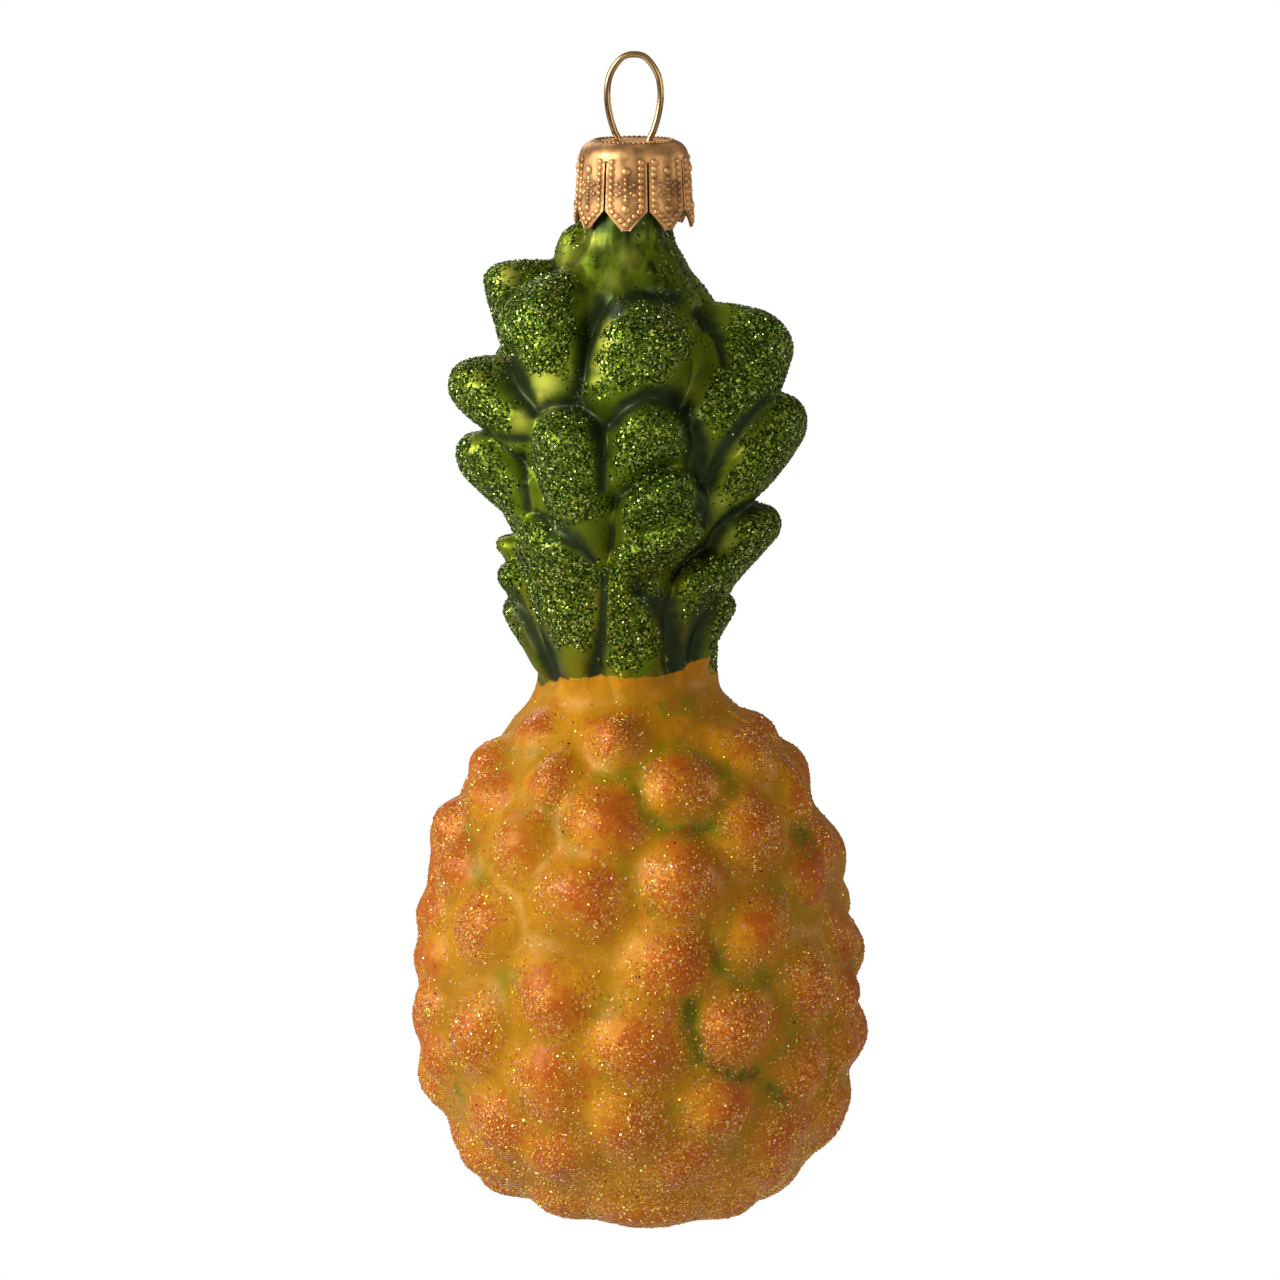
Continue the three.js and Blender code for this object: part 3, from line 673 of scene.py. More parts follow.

# %% [markdown]
# ## Creases, ridges and hollows
#
# Between the leaves the mould also has narrow creases. They are coloured dark green, which is
# partly the darker paint that gathers there and partly painted shade. The broadest leaf carries two
# slanting ridges with hollows beside them. Each is a short line through places seen from the front.
# The relief is lowered or raised along it and eases back over a small reach. A crease varies in
# reach, and its dark green, paint and painted shade alike, spreads a little wider.

# %% Lines pressed into the crown
CREASES = [
    [(6.6, 91.3), (8.4, 88.7), (9.2, 86.2)], [(7.6, 90.6), (9.0, 88.6)],
    [(13.4, 82.9), (10.8, 79.9), (8.8, 77.2), (7.6, 74.6)],
    [(13.0, 72.5), (10.3, 71.5), (8.4, 69.6), (7.3, 67.6)],
    [(-3.0, 92.2), (-4.4, 89.1), (-5.2, 86.1), (-5.7, 83.0)],
    [(-12.5, 87.4), (-11.4, 84.1), (-10.2, 81.6)],
    [(-10.2, 81.2), (-8.6, 82.2), (-5.6, 82.3), (-3.9, 80.3), (-3.2, 77.6), (-3.3, 73.8)],
    [(-2.2, 80.3), (-0.8, 82.0), (1.4, 83.2), (3.8, 82.8), (5.6, 81.0), (6.6, 78.1), (7.0, 74.2),
     (7.2, 70.4)],
    [(-9.8, 71.3), (-7.8, 69.7), (-5.6, 68.0), (-4.2, 66.6)],
    [(-3.0, 65.3), (-3.1, 61.6), (-3.4, 58.1), (-3.9, 55.4)],
    [(-12.2, 62.9), (-10.6, 60.3), (-9.0, 57.3), (-7.9, 54.6)],
    [(-15.2, 79.8), (-12.9, 78.8), (-10.8, 78.8)], [(-11.3, 77.2), (-11.0, 73.8), (-10.7, 71.6)],
    [(0.7, 63.6), (2.7, 62.3), (3.8, 59.6), (4.2, 56.2)], [(8.2, 62.1), (6.7, 60.1), (5.8, 56.6)],
    [(-2.1, 91.5), (0.0, 92.8), (2.4, 93.2), (4.2, 92.9)],
]
RIDGES = [[(-1.4, 70.9), (1.4, 72.6), (4.9, 75.1)], [(-1.6, 66.5), (2.2, 67.5), (5.9, 69.4)]]
HOLLOWS = [[(-0.4, 73.9), (1.4, 75.0), (3.8, 76.4)], [(1.1, 69.6), (3.8, 70.6), (6.2, 71.9)],
           [(0.6, 64.4), (3.6, 65.2), (6.4, 66.6)]]
# The last of these is how far the creases' dark green spreads; it is partly paint and partly
# painted shade.
CREASE_DEPTH, CREASE_REACH, CREASE_SHADE_REACH = 0.45, 0.8, 1.6
CREASE_UNEVEN, CREASE_LEAST, CREASE_MOST = 0.4, 0.45, 1.8
RIDGE_HEIGHT, RIDGE_REACH = 1.0, 1.0
HOLLOW_DEPTH, HOLLOW_REACH = 1.3, 1.1
NEAR_SIDE = -0.5  # what lies further back than this is round the side, out of sight
FAR_OFF = 1000


def seen_from_front(points):
    """Across and up of points as the camera sees them. What is out of sight is put far off."""
    middle, level = AIM[0] / MILLIMETRE, HOOK_HEIGHT + AIM[2] / MILLIMETRE
    far = CAMERA_DISTANCE / MILLIMETRE
    across, back, above = np.moveaxis(points - (middle, 0, level), -1, 0)
    up = above * math.cos(CAMERA_TILT) + back * math.sin(CAMERA_TILT)
    nearer = far / (far + back * math.cos(CAMERA_TILT) - above * math.sin(CAMERA_TILT))
    up = np.where(back < NEAR_SIDE, level + nearer * up, FAR_OFF)
    return np.stack([middle + nearer * across, up], -1)


def line_share(line, reach):
    """1 along a line seen from the front, and less over a reach either side."""
    away = np.full(relief.shape, np.inf)
    for start, end in zip(np.array(line, float), np.array(line[1:], float)):
        way = end - start
        along = np.clip((seen - start) @ way / (way @ way), 0, 1)
        away = np.minimum(away, np.linalg.norm(seen - start - along[..., None] * way, axis=-1))
    return np.exp(-(away / reach) ** 2)


def lines_share(lines, reach):
    """The same for the nearest of several lines."""
    return np.max([line_share(line, reach) for line in lines], axis=0)


seen = seen_from_front(point_on(wall, turns[None, :], relief))
crease_reach = CREASE_REACH * np.clip(
    1 + CREASE_UNEVEN * lumps(relief.shape, 6, 7), CREASE_LEAST, CREASE_MOST)
relief -= CREASE_DEPTH * lines_share(CREASES, crease_reach)
relief += RIDGE_HEIGHT * lines_share(RIDGES, RIDGE_REACH)
relief -= HOLLOW_DEPTH * lines_share(HOLLOWS, HOLLOW_REACH)
# The dark green along each crease is partly paint and partly painted shade.
crease_shade = lines_share(CREASES, CREASE_SHADE_REACH * crease_reach)
print(len(CREASES), "creases,", len(RIDGES), "ridges and", len(HOLLOWS), "hollows")

# %% [markdown]
# ## What is low and what stands out
#
# Paint runs off high places and gathers in grooves, and glitter sticks to what stands out. Grooves
# also lie in shade, so the darker colour given to them below is partly that paint and partly
# painted shade. To know which is which, the relief is compared with its own average, once over a
# little and once over a few millimetres. Where it is below the average there is a groove.

# %% Measure the grooves
NARROW, WIDE = 3, 7
groove = softened(relief, NARROW, NARROW) - relief
wide_groove = softened(relief, WIDE, WIDE) - relief
print("deepest groove:", round(float(groove.max()), 2), "mm under its surroundings")

# %% [markdown]
# ## Where each paint lies
#
# The crown's green stops at a wavy hand-painted edge round the waist. Olive lies in some of the
# grooves between the eyes, partly as olive paint and partly as painted shade: a few dark strokes,
# and wide faint ones. Both are listed one by one as seen on the front, and carried on round the
# back in the same manner.

# %% Paint edge, and olive paint and shade
EDGE_SEEN = [  # across, up
    (-9.6, 53.4), (-7.4, 54.3), (-6.4, 54.0), (-3.4, 54.4), (-0.9, 54.1), (2.6, 54.4),
    (4.6, 54.8), (5.6, 55.8), (6.6, 56.1), (7.8, 55.3), (8.4, 54.6),
]
EDGE_BEHIND = [  # turn in degrees, height
    (112, 54.8), (138, 55.9), (166, 54.9), (196, 55.9), (224, 54.6), (252, 55.2),
]
EDGE_PROUD = 0.5
# Olive lines in the grooves: partly olive paint and partly painted shade.
OLIVE_PAINT_AND_SHADE_LINES = [  # strength, reach, line of places seen
    (1.0, 1.0, [(5.7, 22.2), (5.6, 19.8), (6.6, 17.0)]),
    (0.95, 0.9, [(8.0, 16.0), (10.0, 14.7), (12.0, 15.2)]),
    (0.8, 0.8, [(7.8, 27.4), (8.8, 25.6)]), (0.7, 1.2, [(10.4, 24.4), (12.8, 24.2)]),
    (0.75, 0.9, [(0.1, 43.8), (0.8, 41.4), (3.2, 39.7), (5.6, 39.5), (8.2, 40.1)]),
    (0.6, 0.9, [(-3.6, 45.2), (-1.8, 44.6), (0.2, 45.0), (1.9, 46.2), (2.6, 47.8)]),
    (0.55, 0.9, [(4.2, 47.6), (6.8, 46.2), (9.4, 45.0), (9.8, 43.0)]),
    (0.6, 0.8, [(-17.0, 42.4), (-16.8, 39.4), (-15.8, 36.4), (-15.2, 34.4)]),
    (0.8, 1.0, [(16.6, 39.8), (17.4, 38.2), (18.2, 36.8)]),
    (0.8, 0.8, [(21.4, 27.4), (21.8, 25.2)]),
    (0.5, 0.6, [(-18.4, 16.4), (-17.6, 14.2), (-17.0, 12.6)]),
    (0.7, 1.5, [(13.8, 13.6), (15.6, 12.4)]), (0.5, 0.7, [(1.4, 32.4), (1.8, 31.2)]),
    (0.4, 1.2, [(-8.6, 41.8), (-7.0, 39.8), (-6.2, 37.6)]),
    (0.4, 1.4, [(-13.2, 25.6), (-11.8, 23.6)]),
    (0.45, 1.6, [(7.6, 9.2), (9.6, 7.2), (10.4, 5.6)]),
    (0.4, 1.3, [(-3.4, 21.2), (-1.4, 21.8)]), (0.4, 1.3, [(-11.4, 12.6), (-12.2, 11.0)]),
    (0.35, 1.2, [(3.0, 51.6), (6.2, 52.4)]),
    (0.4, 1.0, [(-12.4, 47.0), (-11.0, 47.8), (-8.8, 47.0)]),
    (0.35, 1.4, [(-0.8, 36.0), (0.2, 33.0)]), (0.35, 1.4, [(8.8, 42.8), (9.2, 39.6)]),
    (0.4, 2.0, [(10.0, 24.6), (14.2, 25.2), (15.4, 21.6), (15.2, 17.2)]),
    (0.35, 1.8, [(8.2, 31.4), (8.8, 28.2)]), (0.4, 1.8, [(15.2, 34.0), (17.6, 30.8)]),
    (0.35, 1.8, [(6.0, 13.0), (3.8, 11.6)]), (0.4, 1.8, [(19.4, 19.6), (20.2, 14.8)]),
]
OLIVE_PAINT_AND_SHADE_BEHIND = [  # turn in degrees, height, reach
    (128, 44.0, 1.6), (166, 38.0, 1.2), (204, 46.0, 1.4), (238, 33.0, 1.5), (148, 24.0, 1.4),
    (186, 17.0, 1.3), (222, 23.0, 1.2), (118, 14.0, 1.3), (176, 30.0, 1.1), (252, 42.0, 1.2),
]
STROKE_SPREAD, SPOT_SPREAD, SPOT_STRENGTH = 1.25, 1.6, 0.7


def edge_height(turn):
    """Height of the green paint's lower edge at each turn."""
    places = [sighted(across, up, EDGE_PROUD) for across, up in EDGE_SEEN]
    places += [(math.radians(turn), z) for turn, z in EDGE_BEHIND]
    places = sorted((turn % (2 * math.pi), z) for turn, z in places)
    return np.interp(np.mod(turn, 2 * math.pi), [p[0] for p in places], [p[1] for p in places],
                     period=2 * math.pi)


over_edge = wall[2] - edge_height(turns)[None, :]
bare_points = point_on(wall, turns[None, :])
# Olive, partly paint and partly painted shade.
olive_paint_and_shade = np.zeros_like(relief)
for strength, reach, line in OLIVE_PAINT_AND_SHADE_LINES:
    olive_paint_and_shade = np.maximum(olive_paint_and_shade, strength * line_share(line, STROKE_SPREAD * reach))
for turn, z, reach in OLIVE_PAINT_AND_SHADE_BEHIND:
    middle = point_on(wall_at(length_at(z)), math.radians(turn))
    away = np.linalg.norm(bare_points - middle, axis=-1)
    olive_paint_and_shade = np.maximum(olive_paint_and_shade, SPOT_STRENGTH * np.exp(-(away / (SPOT_SPREAD * reach)) ** 2))
print("green starts between", round(float(edge_height(turns).min()), 1), "and",
      round(float(edge_height(turns).max()), 1), "mm")

# %% [markdown]
# ## Orange dabs
#
# The orange is dabbed on by hand after the mould has done its work, so no dab sits quite on its
# eye: most have slipped up and to the right, some are faint and some are small.

# %% Dab the eyes
DAB_SLIP, DAB_UP, DAB_STRAY = 0.4, 0.3, 0.6
DAB_SIZE, DAB_STRENGTH = (0.86, 0.12), (0.88, 0.15)  # the usual one, and how much it varies
DAB_FADE, POLE_R = 0.66, 3

dab = np.zeros_like(relief)
for eye in EYES:
    r = max(float(radius_at(eye["length"])), POLE_R)
    turn = eye["turn"] + uneven(DAB_SLIP, DAB_STRAY) / r
    middle = point_on(wall_at(eye["length"] + uneven(DAB_UP, DAB_STRAY)), turn)
    reach = eye["reach"] * uneven(*DAB_SIZE)
    away = np.linalg.norm(bare_points - middle, axis=-1) / reach
    dab = np.maximum(dab, uneven(*DAB_STRENGTH) * np.exp(-(away / DAB_FADE) ** 3))
print("dabbed:", round(float((dab > 0.5).mean()), 2), "of the wall")

# %% [markdown]
# ## Where glitter sticks
#
# The crown carries dense green glitter on its leaf faces, thinning towards the leaf ends and
# grooves, with bare places where the lacquer had dried first and a few dusted ones on the neck. At
# the sides, where the leaves of the front and the back don't meet, a strip of it covers the gap.
# The fruit carries pale gold and pearl in small clusters, thickest on the eyes and underneath, and
# a line of it sticks to each seam.
#
# The paint needs to know this too, because the finest dust of the glitter is part of it. Some
# places get painted highlights in lime, strong or faint. Others, under the cap, get the cap's
# painted shadow in dark green.

# %% Glitter on crown and fruit
BARE_PLACES = [  # across, up, reach, as in the lists below
    (-4.4, 94.2, 1.9), (-9.2, 83.6, 1.9), (5.4, 84.6, 2.0), (-11.2, 80.6, 1.2),
    (-13.0, 83.2, 0.9), (-4.8, 68.6, 2.0), (-13.2, 68.2, 1.6), (9.6, 77.0, 1.3),
    (9.4, 69.0, 1.1), (5.6, 58.6, 2.2), (-5.8, 56.4, 1.8), (-10.0, 56.8, 1.8),
    (-12.0, 95.4, 1.6), (-11.8, 76.0, 1.4), (8.6, 91.8, 1.5), (-3.2, 88.0, 1.2),
    (-3.4, 90.6, 1.2), (-3.8, 85.2, 1.0), (-15.7, 84.8, 1.1), (-7.0, 97.8, 2.2),
    (2.0, 55.4, 1.6), (-15.8, 78.2, 1.0), (-16.6, 77.0, 0.7),
]
DUSTED_PLACES = [(4.7, 96.6, 1.5), (3.9, 98.9, 1.3), (6.0, 94.4, 1.4), (3.2, 95.4, 1.1)]
# Painted highlights: lime patches, strong and faint, that stand for light on the crown.
PAINTED_HIGHLIGHTS = [
    (-8.9, 84.4, 1.5), (-9.2, 82.8, 1.3), (-11.2, 80.6, 0.9), (-13.2, 95.0, 1.2),
    (-2.9, 90.0, 0.8), (-3.1, 88.2, 0.8), (-3.6, 86.2, 0.8), (-4.0, 84.4, 0.7),
]
FAINT_PAINTED_HIGHLIGHTS = [
    (6.0, 83.6, 1.4), (11.0, 77.4, 1.3), (8.6, 72.6, 1.0), (9.6, 69.0, 1.0), (-4.8, 60.4, 1.2),
    (-0.6, 96.8, 1.2), (-2.2, 94.6, 1.0), (-6.6, 97.2, 1.5), (-4.2, 98.6, 0.9),
    (-15.7, 84.8, 1.1), (-15.8, 78.2, 0.9), (-13.4, 86.4, 1.1),
]
# Painted shadow of the cap on the neck, in dark green.
SHADES = [(0.0, 101.4, 3.4), (3.2, 99.8, 1.6), (-3.2, 100.6, 1.9)]
BARENESS, DUSTING, FAINTNESS, SHADING = 0.8, 0.35, 0.35, 0.8
STRIPS, STRIP_REACH, STRIP_SHARE = (math.radians(99), math.radians(251)), 3.5, 0.8
STRAY_FLAKES = 0.006
FRUIT_COVER = dict(everywhere=0.08, eyes=0.75, underneath=0.75, seams=0.5)


def patches_share(places, power=2):
    """1 at the middle of patches seen from the front, and less over their reach."""
    share = np.zeros_like(relief)
    for across, up, reach in places:
        away = np.linalg.norm(seen - (across, up), axis=-1)
        share = np.maximum(share, np.exp(-(away / reach) ** power))
    return share


on_crown = smooth(over_edge, 0.2, 0.8)
stands_out = fading(wide_groove, -0.4, 0.6)
patchy = np.clip(0.5 + 0.25 * lumps(relief.shape, 3, 5), 0, 1)
dressed = leaf_face * (0.5 + 0.5 * stands_out) * (1 - 0.9 * crease_shade)
dressed = smooth(dressed + 0.6 * (patchy - 0.5) - BARENESS * patches_share(BARE_PLACES, 4), 0, 0.85)
dressed = np.maximum(dressed, DUSTING * patches_share(DUSTED_PLACES))
for strip in STRIPS:
    share = np.exp(-(aside_of(strip) / STRIP_REACH) ** 4)
    dressed = np.maximum(dressed, STRIP_SHARE * share * patchy)
crown_cover = on_crown * np.clip(dressed + STRAY_FLAKES, 0, 1) * fading(wall[2], 99, 104)

# Painted highlights, strong and faint.
painted_highlight = np.maximum(patches_share(PAINTED_HIGHLIGHTS), FAINTNESS * patches_share(FAINT_PAINTED_HIGHLIGHTS))
# The creases' dark green, partly painted shade, and the cap's painted shadow go into one mark.
shaded = np.maximum(crease_shade, SHADING * patches_share(SHADES))

on_fruit = fading(over_edge, -4, -0.5)
clustered = np.clip(0.6 + 0.45 * lumps(relief.shape, 2, 8), 0.08, 1.5)
fruit_cover = on_fruit * np.clip(
    FRUIT_COVER["everywhere"] + FRUIT_COVER["eyes"] * smooth(eye_tip, 0.03, 0.55) * clustered
    + FRUIT_COVER["underneath"] * fading(wall[2], 3, 16) + FRUIT_COVER["seams"] * seam_line, 0, 1)
print("crown covered:", round(float(crown_cover.mean()), 2))

# %% [markdown]
# ## The glass mesh
#
# The outer wall and the hollow are two grids of rings. They are closed at the bottom by a point
# each, and joined at the mouth by a flat rim. The hollow has a quarter of the columns and rows,
# because nobody sees it, and keeps about a millimetre of glass between itself and the outside.

# %% Build the glass
INNER_STEP = 4


def in_frame(points):
    """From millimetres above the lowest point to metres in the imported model's frame."""
    points = np.array(points, float).reshape(-1, 3)
    points[:, 2] -= HOOK_HEIGHT
    return points * MILLIMETRE


def ring_faces(rows, columns, first):
    """Quads between rings of points, wound so that they face away from the axis."""
    at = first + np.arange(rows * columns).reshape(rows, columns)
    right = np.roll(at, -1, axis=1)
    return np.stack([at[:-1], right[:-1], right[1:], at[1:]], -1).reshape(-1, 4)


def fan_faces(centre, ring):
    return [(centre, b, a) for a, b in zip(ring, np.roll(ring, -1))]


def lowest_near(field, reach):
    """The lowest value within reach rows and columns of each place."""
    low = field.copy()
    for down in range(-reach, reach + 1):
        rows = np.clip(np.arange(len(field)) + down, 0, len(field) - 1)
        for across in range(-reach, reach + 1):
            low = np.minimum(low, np.roll(field[rows], across, axis=1))
    return low


outer = point_on(wall, turns[None, :], relief)
row_count, column_count = relief.shape
hollow_relief = lowest_near(relief, INNER_STEP)[INNER_STEP - 1::INNER_STEP, ::INNER_STEP]
hollow_wall = tuple(part[INNER_STEP - 1::INNER_STEP] for part in wall)
inner = point_on(hollow_wall, turns[None, ::INNER_STEP], hollow_relief - WALL / hollow_wall[5])
inner_rows, inner_columns = hollow_relief.shape
inner[-1, :, 2] = GLASS_TOP

bottom, bottom_inside = ([[drift_at(0.0), 0.0, z]] for z in (-float(relief[0].mean()), WALL))
outer_count = row_count * column_count
inner_first = outer_count + 1
glass_points = np.concatenate([outer.reshape(-1, 3), bottom, inner.reshape(-1, 3), bottom_inside])

faces = ring_faces(row_count, column_count, 0).tolist()
faces += fan_faces(outer_count, np.arange(column_count))
outer_faces = len(faces)
faces += ring_faces(inner_rows, inner_columns, inner_first)[:, ::-1].tolist()
faces += [face[::-1] for face in fan_faces(
    len(glass_points) - 1, inner_first + np.arange(inner_columns))]
outer_rim = outer_count - column_count + np.arange(column_count)
inner_rim = inner_first + (inner_rows - 1) * inner_columns + np.arange(inner_columns)
for k in range(inner_columns):
    near = [outer_rim[(k * INNER_STEP + i) % column_count] for i in range(INNER_STEP + 1)]
    faces += [(inner_rim[k], near[i], near[i + 1]) for i in range(INNER_STEP)]
    faces.append((inner_rim[k], near[-1], inner_rim[(k + 1) % inner_columns]))
print("glass:", len(glass_points), "points,", len(faces), "faces")

# %% [markdown]
# ## Paint on the glass
#
# Satin lacquer over silvered glass has two layers of look: a soft base that takes the light almost
# like metal, and a thin clear coat. The colours shift with the marks measured above: orange on the
# eyes, dark green in the crown's creases and grooves that is partly paint and partly painted shade,
# and olive and moss in the fruit's grooves, partly paint and partly painted shade. Lime patches are
# painted highlights, dark streaks on the neck are painted reflection, and dark green under the cap
# is the cap's painted shadow. Noise at a few sizes breaks each of them up, as a spray gun and a
# hand do. The finest dust of the glitter is part of the paint: crisp cells of many colours, each
# tipped its own way, more of them where glitter lies.

# %% The paint
# Some of these colours stand for light: the moss and olive colours are partly painted shade, the
# dark streak colour is painted reflection, the lime is painted highlight, and the deep green is
# partly painted shade.
AMBER, DARK_AMBER, PEACH = (0.6, 0.27, 0.006), (0.46, 0.2, 0.004), (0.6, 0.2, 0.02)
MOSS_AND_GROOVE_SHADE, OLIVE_PAINT_AND_SHADE, DARK_OLIVE_PAINT_AND_SHADE = (0.3, 0.17, 0.004), (0.27, 0.2, 0.004), (0.1, 0.11, 0.002)
ORANGE, RED_ORANGE = (0.5, 0.122, 0.01), (0.42, 0.07, 0.008)
LEAF_GREEN, DARK_LEAF, BROWN = (0.178, 0.258, 0.009), (0.078, 0.14, 0.005), (0.22, 0.14, 0.005)
REFLECTION_STREAK, LIME_HIGHLIGHT, SHADE_AND_POOLED_GREEN = (0.025, 0.04, 0.004), (0.8, 0.88, 0.13), (0.018, 0.034, 0.018)
GREEN_DUST = [
    (0.016, 0.036, 0.002), (0.04, 0.075, 0.003), (0.11, 0.17, 0.007), (0.02, 0.042, 0.003),
    (0.23, 0.33, 0.03), (0.05, 0.09, 0.003), (0.54, 0.66, 0.16), (0.026, 0.055, 0.003),
]
GOLD_DUST = [
    (0.56, 0.2, 0.02), (0.48, 0.13, 0.01), (0.74, 0.38, 0.1), (0.38, 0.08, 0.008),
    (0.62, 0.25, 0.03), (0.44, 0.11, 0.02), (0.9, 0.54, 0.22), (0.48, 0.12, 0.02),
]
DUST_PER_METRE = (6000.0, 4300.0)
WRINKLE = 0.22


def fruit_paint(paint, cloud, speck, tinge):
    """Amber, mossy in patches and darker moss in the grooves that is partly painted shade, peach in
    patches, olive that is partly paint and partly painted shade, and orange dabs.
    """
    amber = paint.blend(paint.ease(cloud, 0.35, 0.65), DARK_AMBER, AMBER)
    # Darker moss in the grooves is partly painted shade.
    moss_and_groove_shade = paint.plus(paint.ease(tinge, 0.5, 0.72, 0, 0.35),
                       paint.ease(paint.attribute("groove"), 0.05, 0.25, 0, 0.35))
    amber = paint.blend(moss_and_groove_shade, amber, MOSS_AND_GROOVE_SHADE)
    amber = paint.blend(paint.ease(tinge, 0.28, 0.45, 0.5, 0.0), amber, PEACH)
    # Olive here is partly paint and partly painted shade.
    olive_paint_and_shade = paint.plus(paint.attribute("olive_paint_and_shade"), paint.ease(tinge, 0.3, 0.7, -0.2, 0.2))
    amber = paint.blend(paint.ease(olive_paint_and_shade, 0.15, 0.6), amber, OLIVE_PAINT_AND_SHADE)
    amber = paint.blend(paint.ease(olive_paint_and_shade, 0.55, 0.95), amber, DARK_OLIVE_PAINT_AND_SHADE)
    rough = paint.plus(paint.ease(speck, 0.2, 0.8, -0.3, 0.3),
                       paint.ease(tinge, 0.3, 0.7, -0.35, 0.35))
    dabbed = paint.plus(paint.attribute("dab"), rough)
    orange = paint.blend(paint.ease(dabbed, 0.15, 0.85, 0, 0.75), amber, ORANGE)
    return paint.blend(paint.ease(dabbed, 0.65, 1.15, 0, 0.6), orange, RED_ORANGE)


def crown_paint(paint, cloud, speck, tinge, above_edge):
    """Green, browner near the waist, with painted reflection as dark streaks on the neck, painted
    highlights in lime, dark green in creases and grooves that is partly paint and partly painted
    shade, and the cap's painted shadow.
    """
    leafy = paint.blend(paint.ease(cloud, 0.3, 0.7), DARK_LEAF, LEAF_GREEN)
    thin = paint.times(paint.ease(tinge, 0.36, 0.6), paint.ease(above_edge, 3, 22, 0.55, 0.05))
    leafy = paint.blend(thin, leafy, BROWN)
    # Dark vertical streaks on the neck are painted reflection.
    reflection_streak = paint.ease(paint.noise(650, tall=7.0), 0.42, 0.62)
    leafy = paint.blend(paint.times(paint.ease(above_edge, 35, 41), reflection_streak), leafy, REFLECTION_STREAK)
    # Lime patches here are painted highlights.
    leafy = paint.blend(paint.times(paint.attribute("painted_highlight"), 0.85), leafy, LIME_HIGHLIGHT)
    # Dark green in creases and grooves is partly pooled paint and partly painted shade, and under
    # the cap it is the cap's painted shadow.
    shade_and_pooled_paint = paint.maths("MAXIMUM", paint.attribute("crease_shade"),
                         paint.ease(paint.attribute("groove"), 0.3, 1.0))
    deep = paint.plus(shade_and_pooled_paint, paint.ease(speck, 0.2, 0.8, -0.12, 0.12))
    return paint.blend(paint.ease(deep, 0.15, 1.0, 0, 0.93), leafy, SHADE_AND_POOLED_GREEN)


def tipped(finish, normal, colour, lean):
    """A surface's own normal, tipped a different way in each cell."""
    def add(operation, inputs):
        return finish.add("VectorMath", inputs, operation=operation).outputs[0]

    centred = add("SUBTRACT", {0: colour, 1: (0.5, 0.5, 0.5)})
    both = add("ADD", {0: normal, 1: add("SCALE", {0: centred, "Scale": lean})})
    return add("NORMALIZE", {0: both})


def lacquer():
    """Fruit and crown in one finish, with the dust that lies on them."""
    paint = Finish("painted glass", Coat_Roughness=0.3, Specular_IOR_Level=0.12)
    cloud = paint.noise(120, 3.0)
    speck = paint.noise(900, 3.0, 0.6)
    fine = paint.noise(3200, 2.0, 0.6)
    tinge = paint.noise(300, 3.0, 0.55, 0.8)
    above_edge = paint.attribute("over_edge")
    wavy = paint.plus(above_edge, paint.ease(speck, 0.2, 0.8, -0.18, 0.18))
    green = paint.ease(wavy, -0.12, 0.12)

    def either(on_fruit, on_crown):
        return paint.ease(green, 0, 1, on_fruit, on_crown)

    colour = paint.blend(green, fruit_paint(paint, cloud, speck, tinge),
                         crown_paint(paint, cloud, speck, tinge, above_edge))
    cell = paint.add("TexVoronoi", {"Vector": paint.place(), "Scale": either(*DUST_PER_METRE)})
    parts = paint.add("SeparateColor", {"Color": cell.outputs["Color"]}).outputs
    dust = paint.blend(green, paint.steps(parts["Red"], GOLD_DUST),
                       paint.steps(parts["Red"], GREEN_DUST))
    cover = paint.times(paint.attribute("glitter_cover"), either(0.7, 0.85))
    laid = paint.ease(paint.plus(parts["Green"], cover), 0.99, 1.05, 0.0, either(0.72, 1.0))

    wrinkles = paint.plus(tinge, paint.times(speck, 0.2))
    skin = paint.add("Bump", {"Height": paint.times(wrinkles, either(1.0, 0.3)),
                              "Strength": 1.0, "Distance": WRINKLE * MILLIMETRE})
    smoother = paint.maths("MAXIMUM", either(0.0, 0.08), paint.times(laid, 0.09))
    paint.fill(paint.surface, {
        "Base Color": paint.blend(laid, colour, dust),
        "Metallic": paint.plus(either(0.08, 0.62), paint.times(laid, either(0.28, 0.15))),
        "Roughness": paint.maths("SUBTRACT", paint.ease(fine, 0.3, 0.7, 0.4, 0.52), smoother),
        "Coat Weight": either(0.1, 0.03),
        "Normal": tipped(paint, skin.outputs["Normal"], cell.outputs["Color"],
                         paint.times(laid, either(0.6, 0.9)))})
    return paint.material


def mark(mesh, name, grid):
    """Store a grid of values on the mesh's first points, and 0 on the others."""
    values = np.zeros(len(mesh.vertices))
    values[:grid.size] = grid.ravel()
    mesh.attributes.new(name, "FLOAT", "POINT").data.foreach_set("value", values)


glass = add_object("painted_glass", new_mesh(
    "painted_glass", in_frame(glass_points), faces, lacquer()))
# Among these marks are painted highlights, painted shade in the creases and grooves, and the cap's
# painted shadow.
for name, grid in {
        "dab": dab, "groove": groove, "crease_shade": shaded, "painted_highlight": painted_highlight, "over_edge": over_edge,
        "olive_paint_and_shade": olive_paint_and_shade, "glitter_cover": crown_cover + fruit_cover}.items():
    mark(glass.data, name, grid)
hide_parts("glass_body")
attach(glass, "root")
report(glass)

# %% [markdown]
# ## Glitter
#
# Glitter is cut from coated foil into specks about a quarter of a millimetre across. It is sifted
# over wet lacquer, so specks lie at all angles and some stand on edge. A Geometry Nodes tree does
# the same: it scatters points over the outer wall as densely as a stored mark says, sets a small
# four-sided plate on each with a random lean and size, and stores a random tint for the finish.

# %% The scatter tree
PLATE_TAPER, PLATE_SIZES = 0.8, (0.7, 1.25)


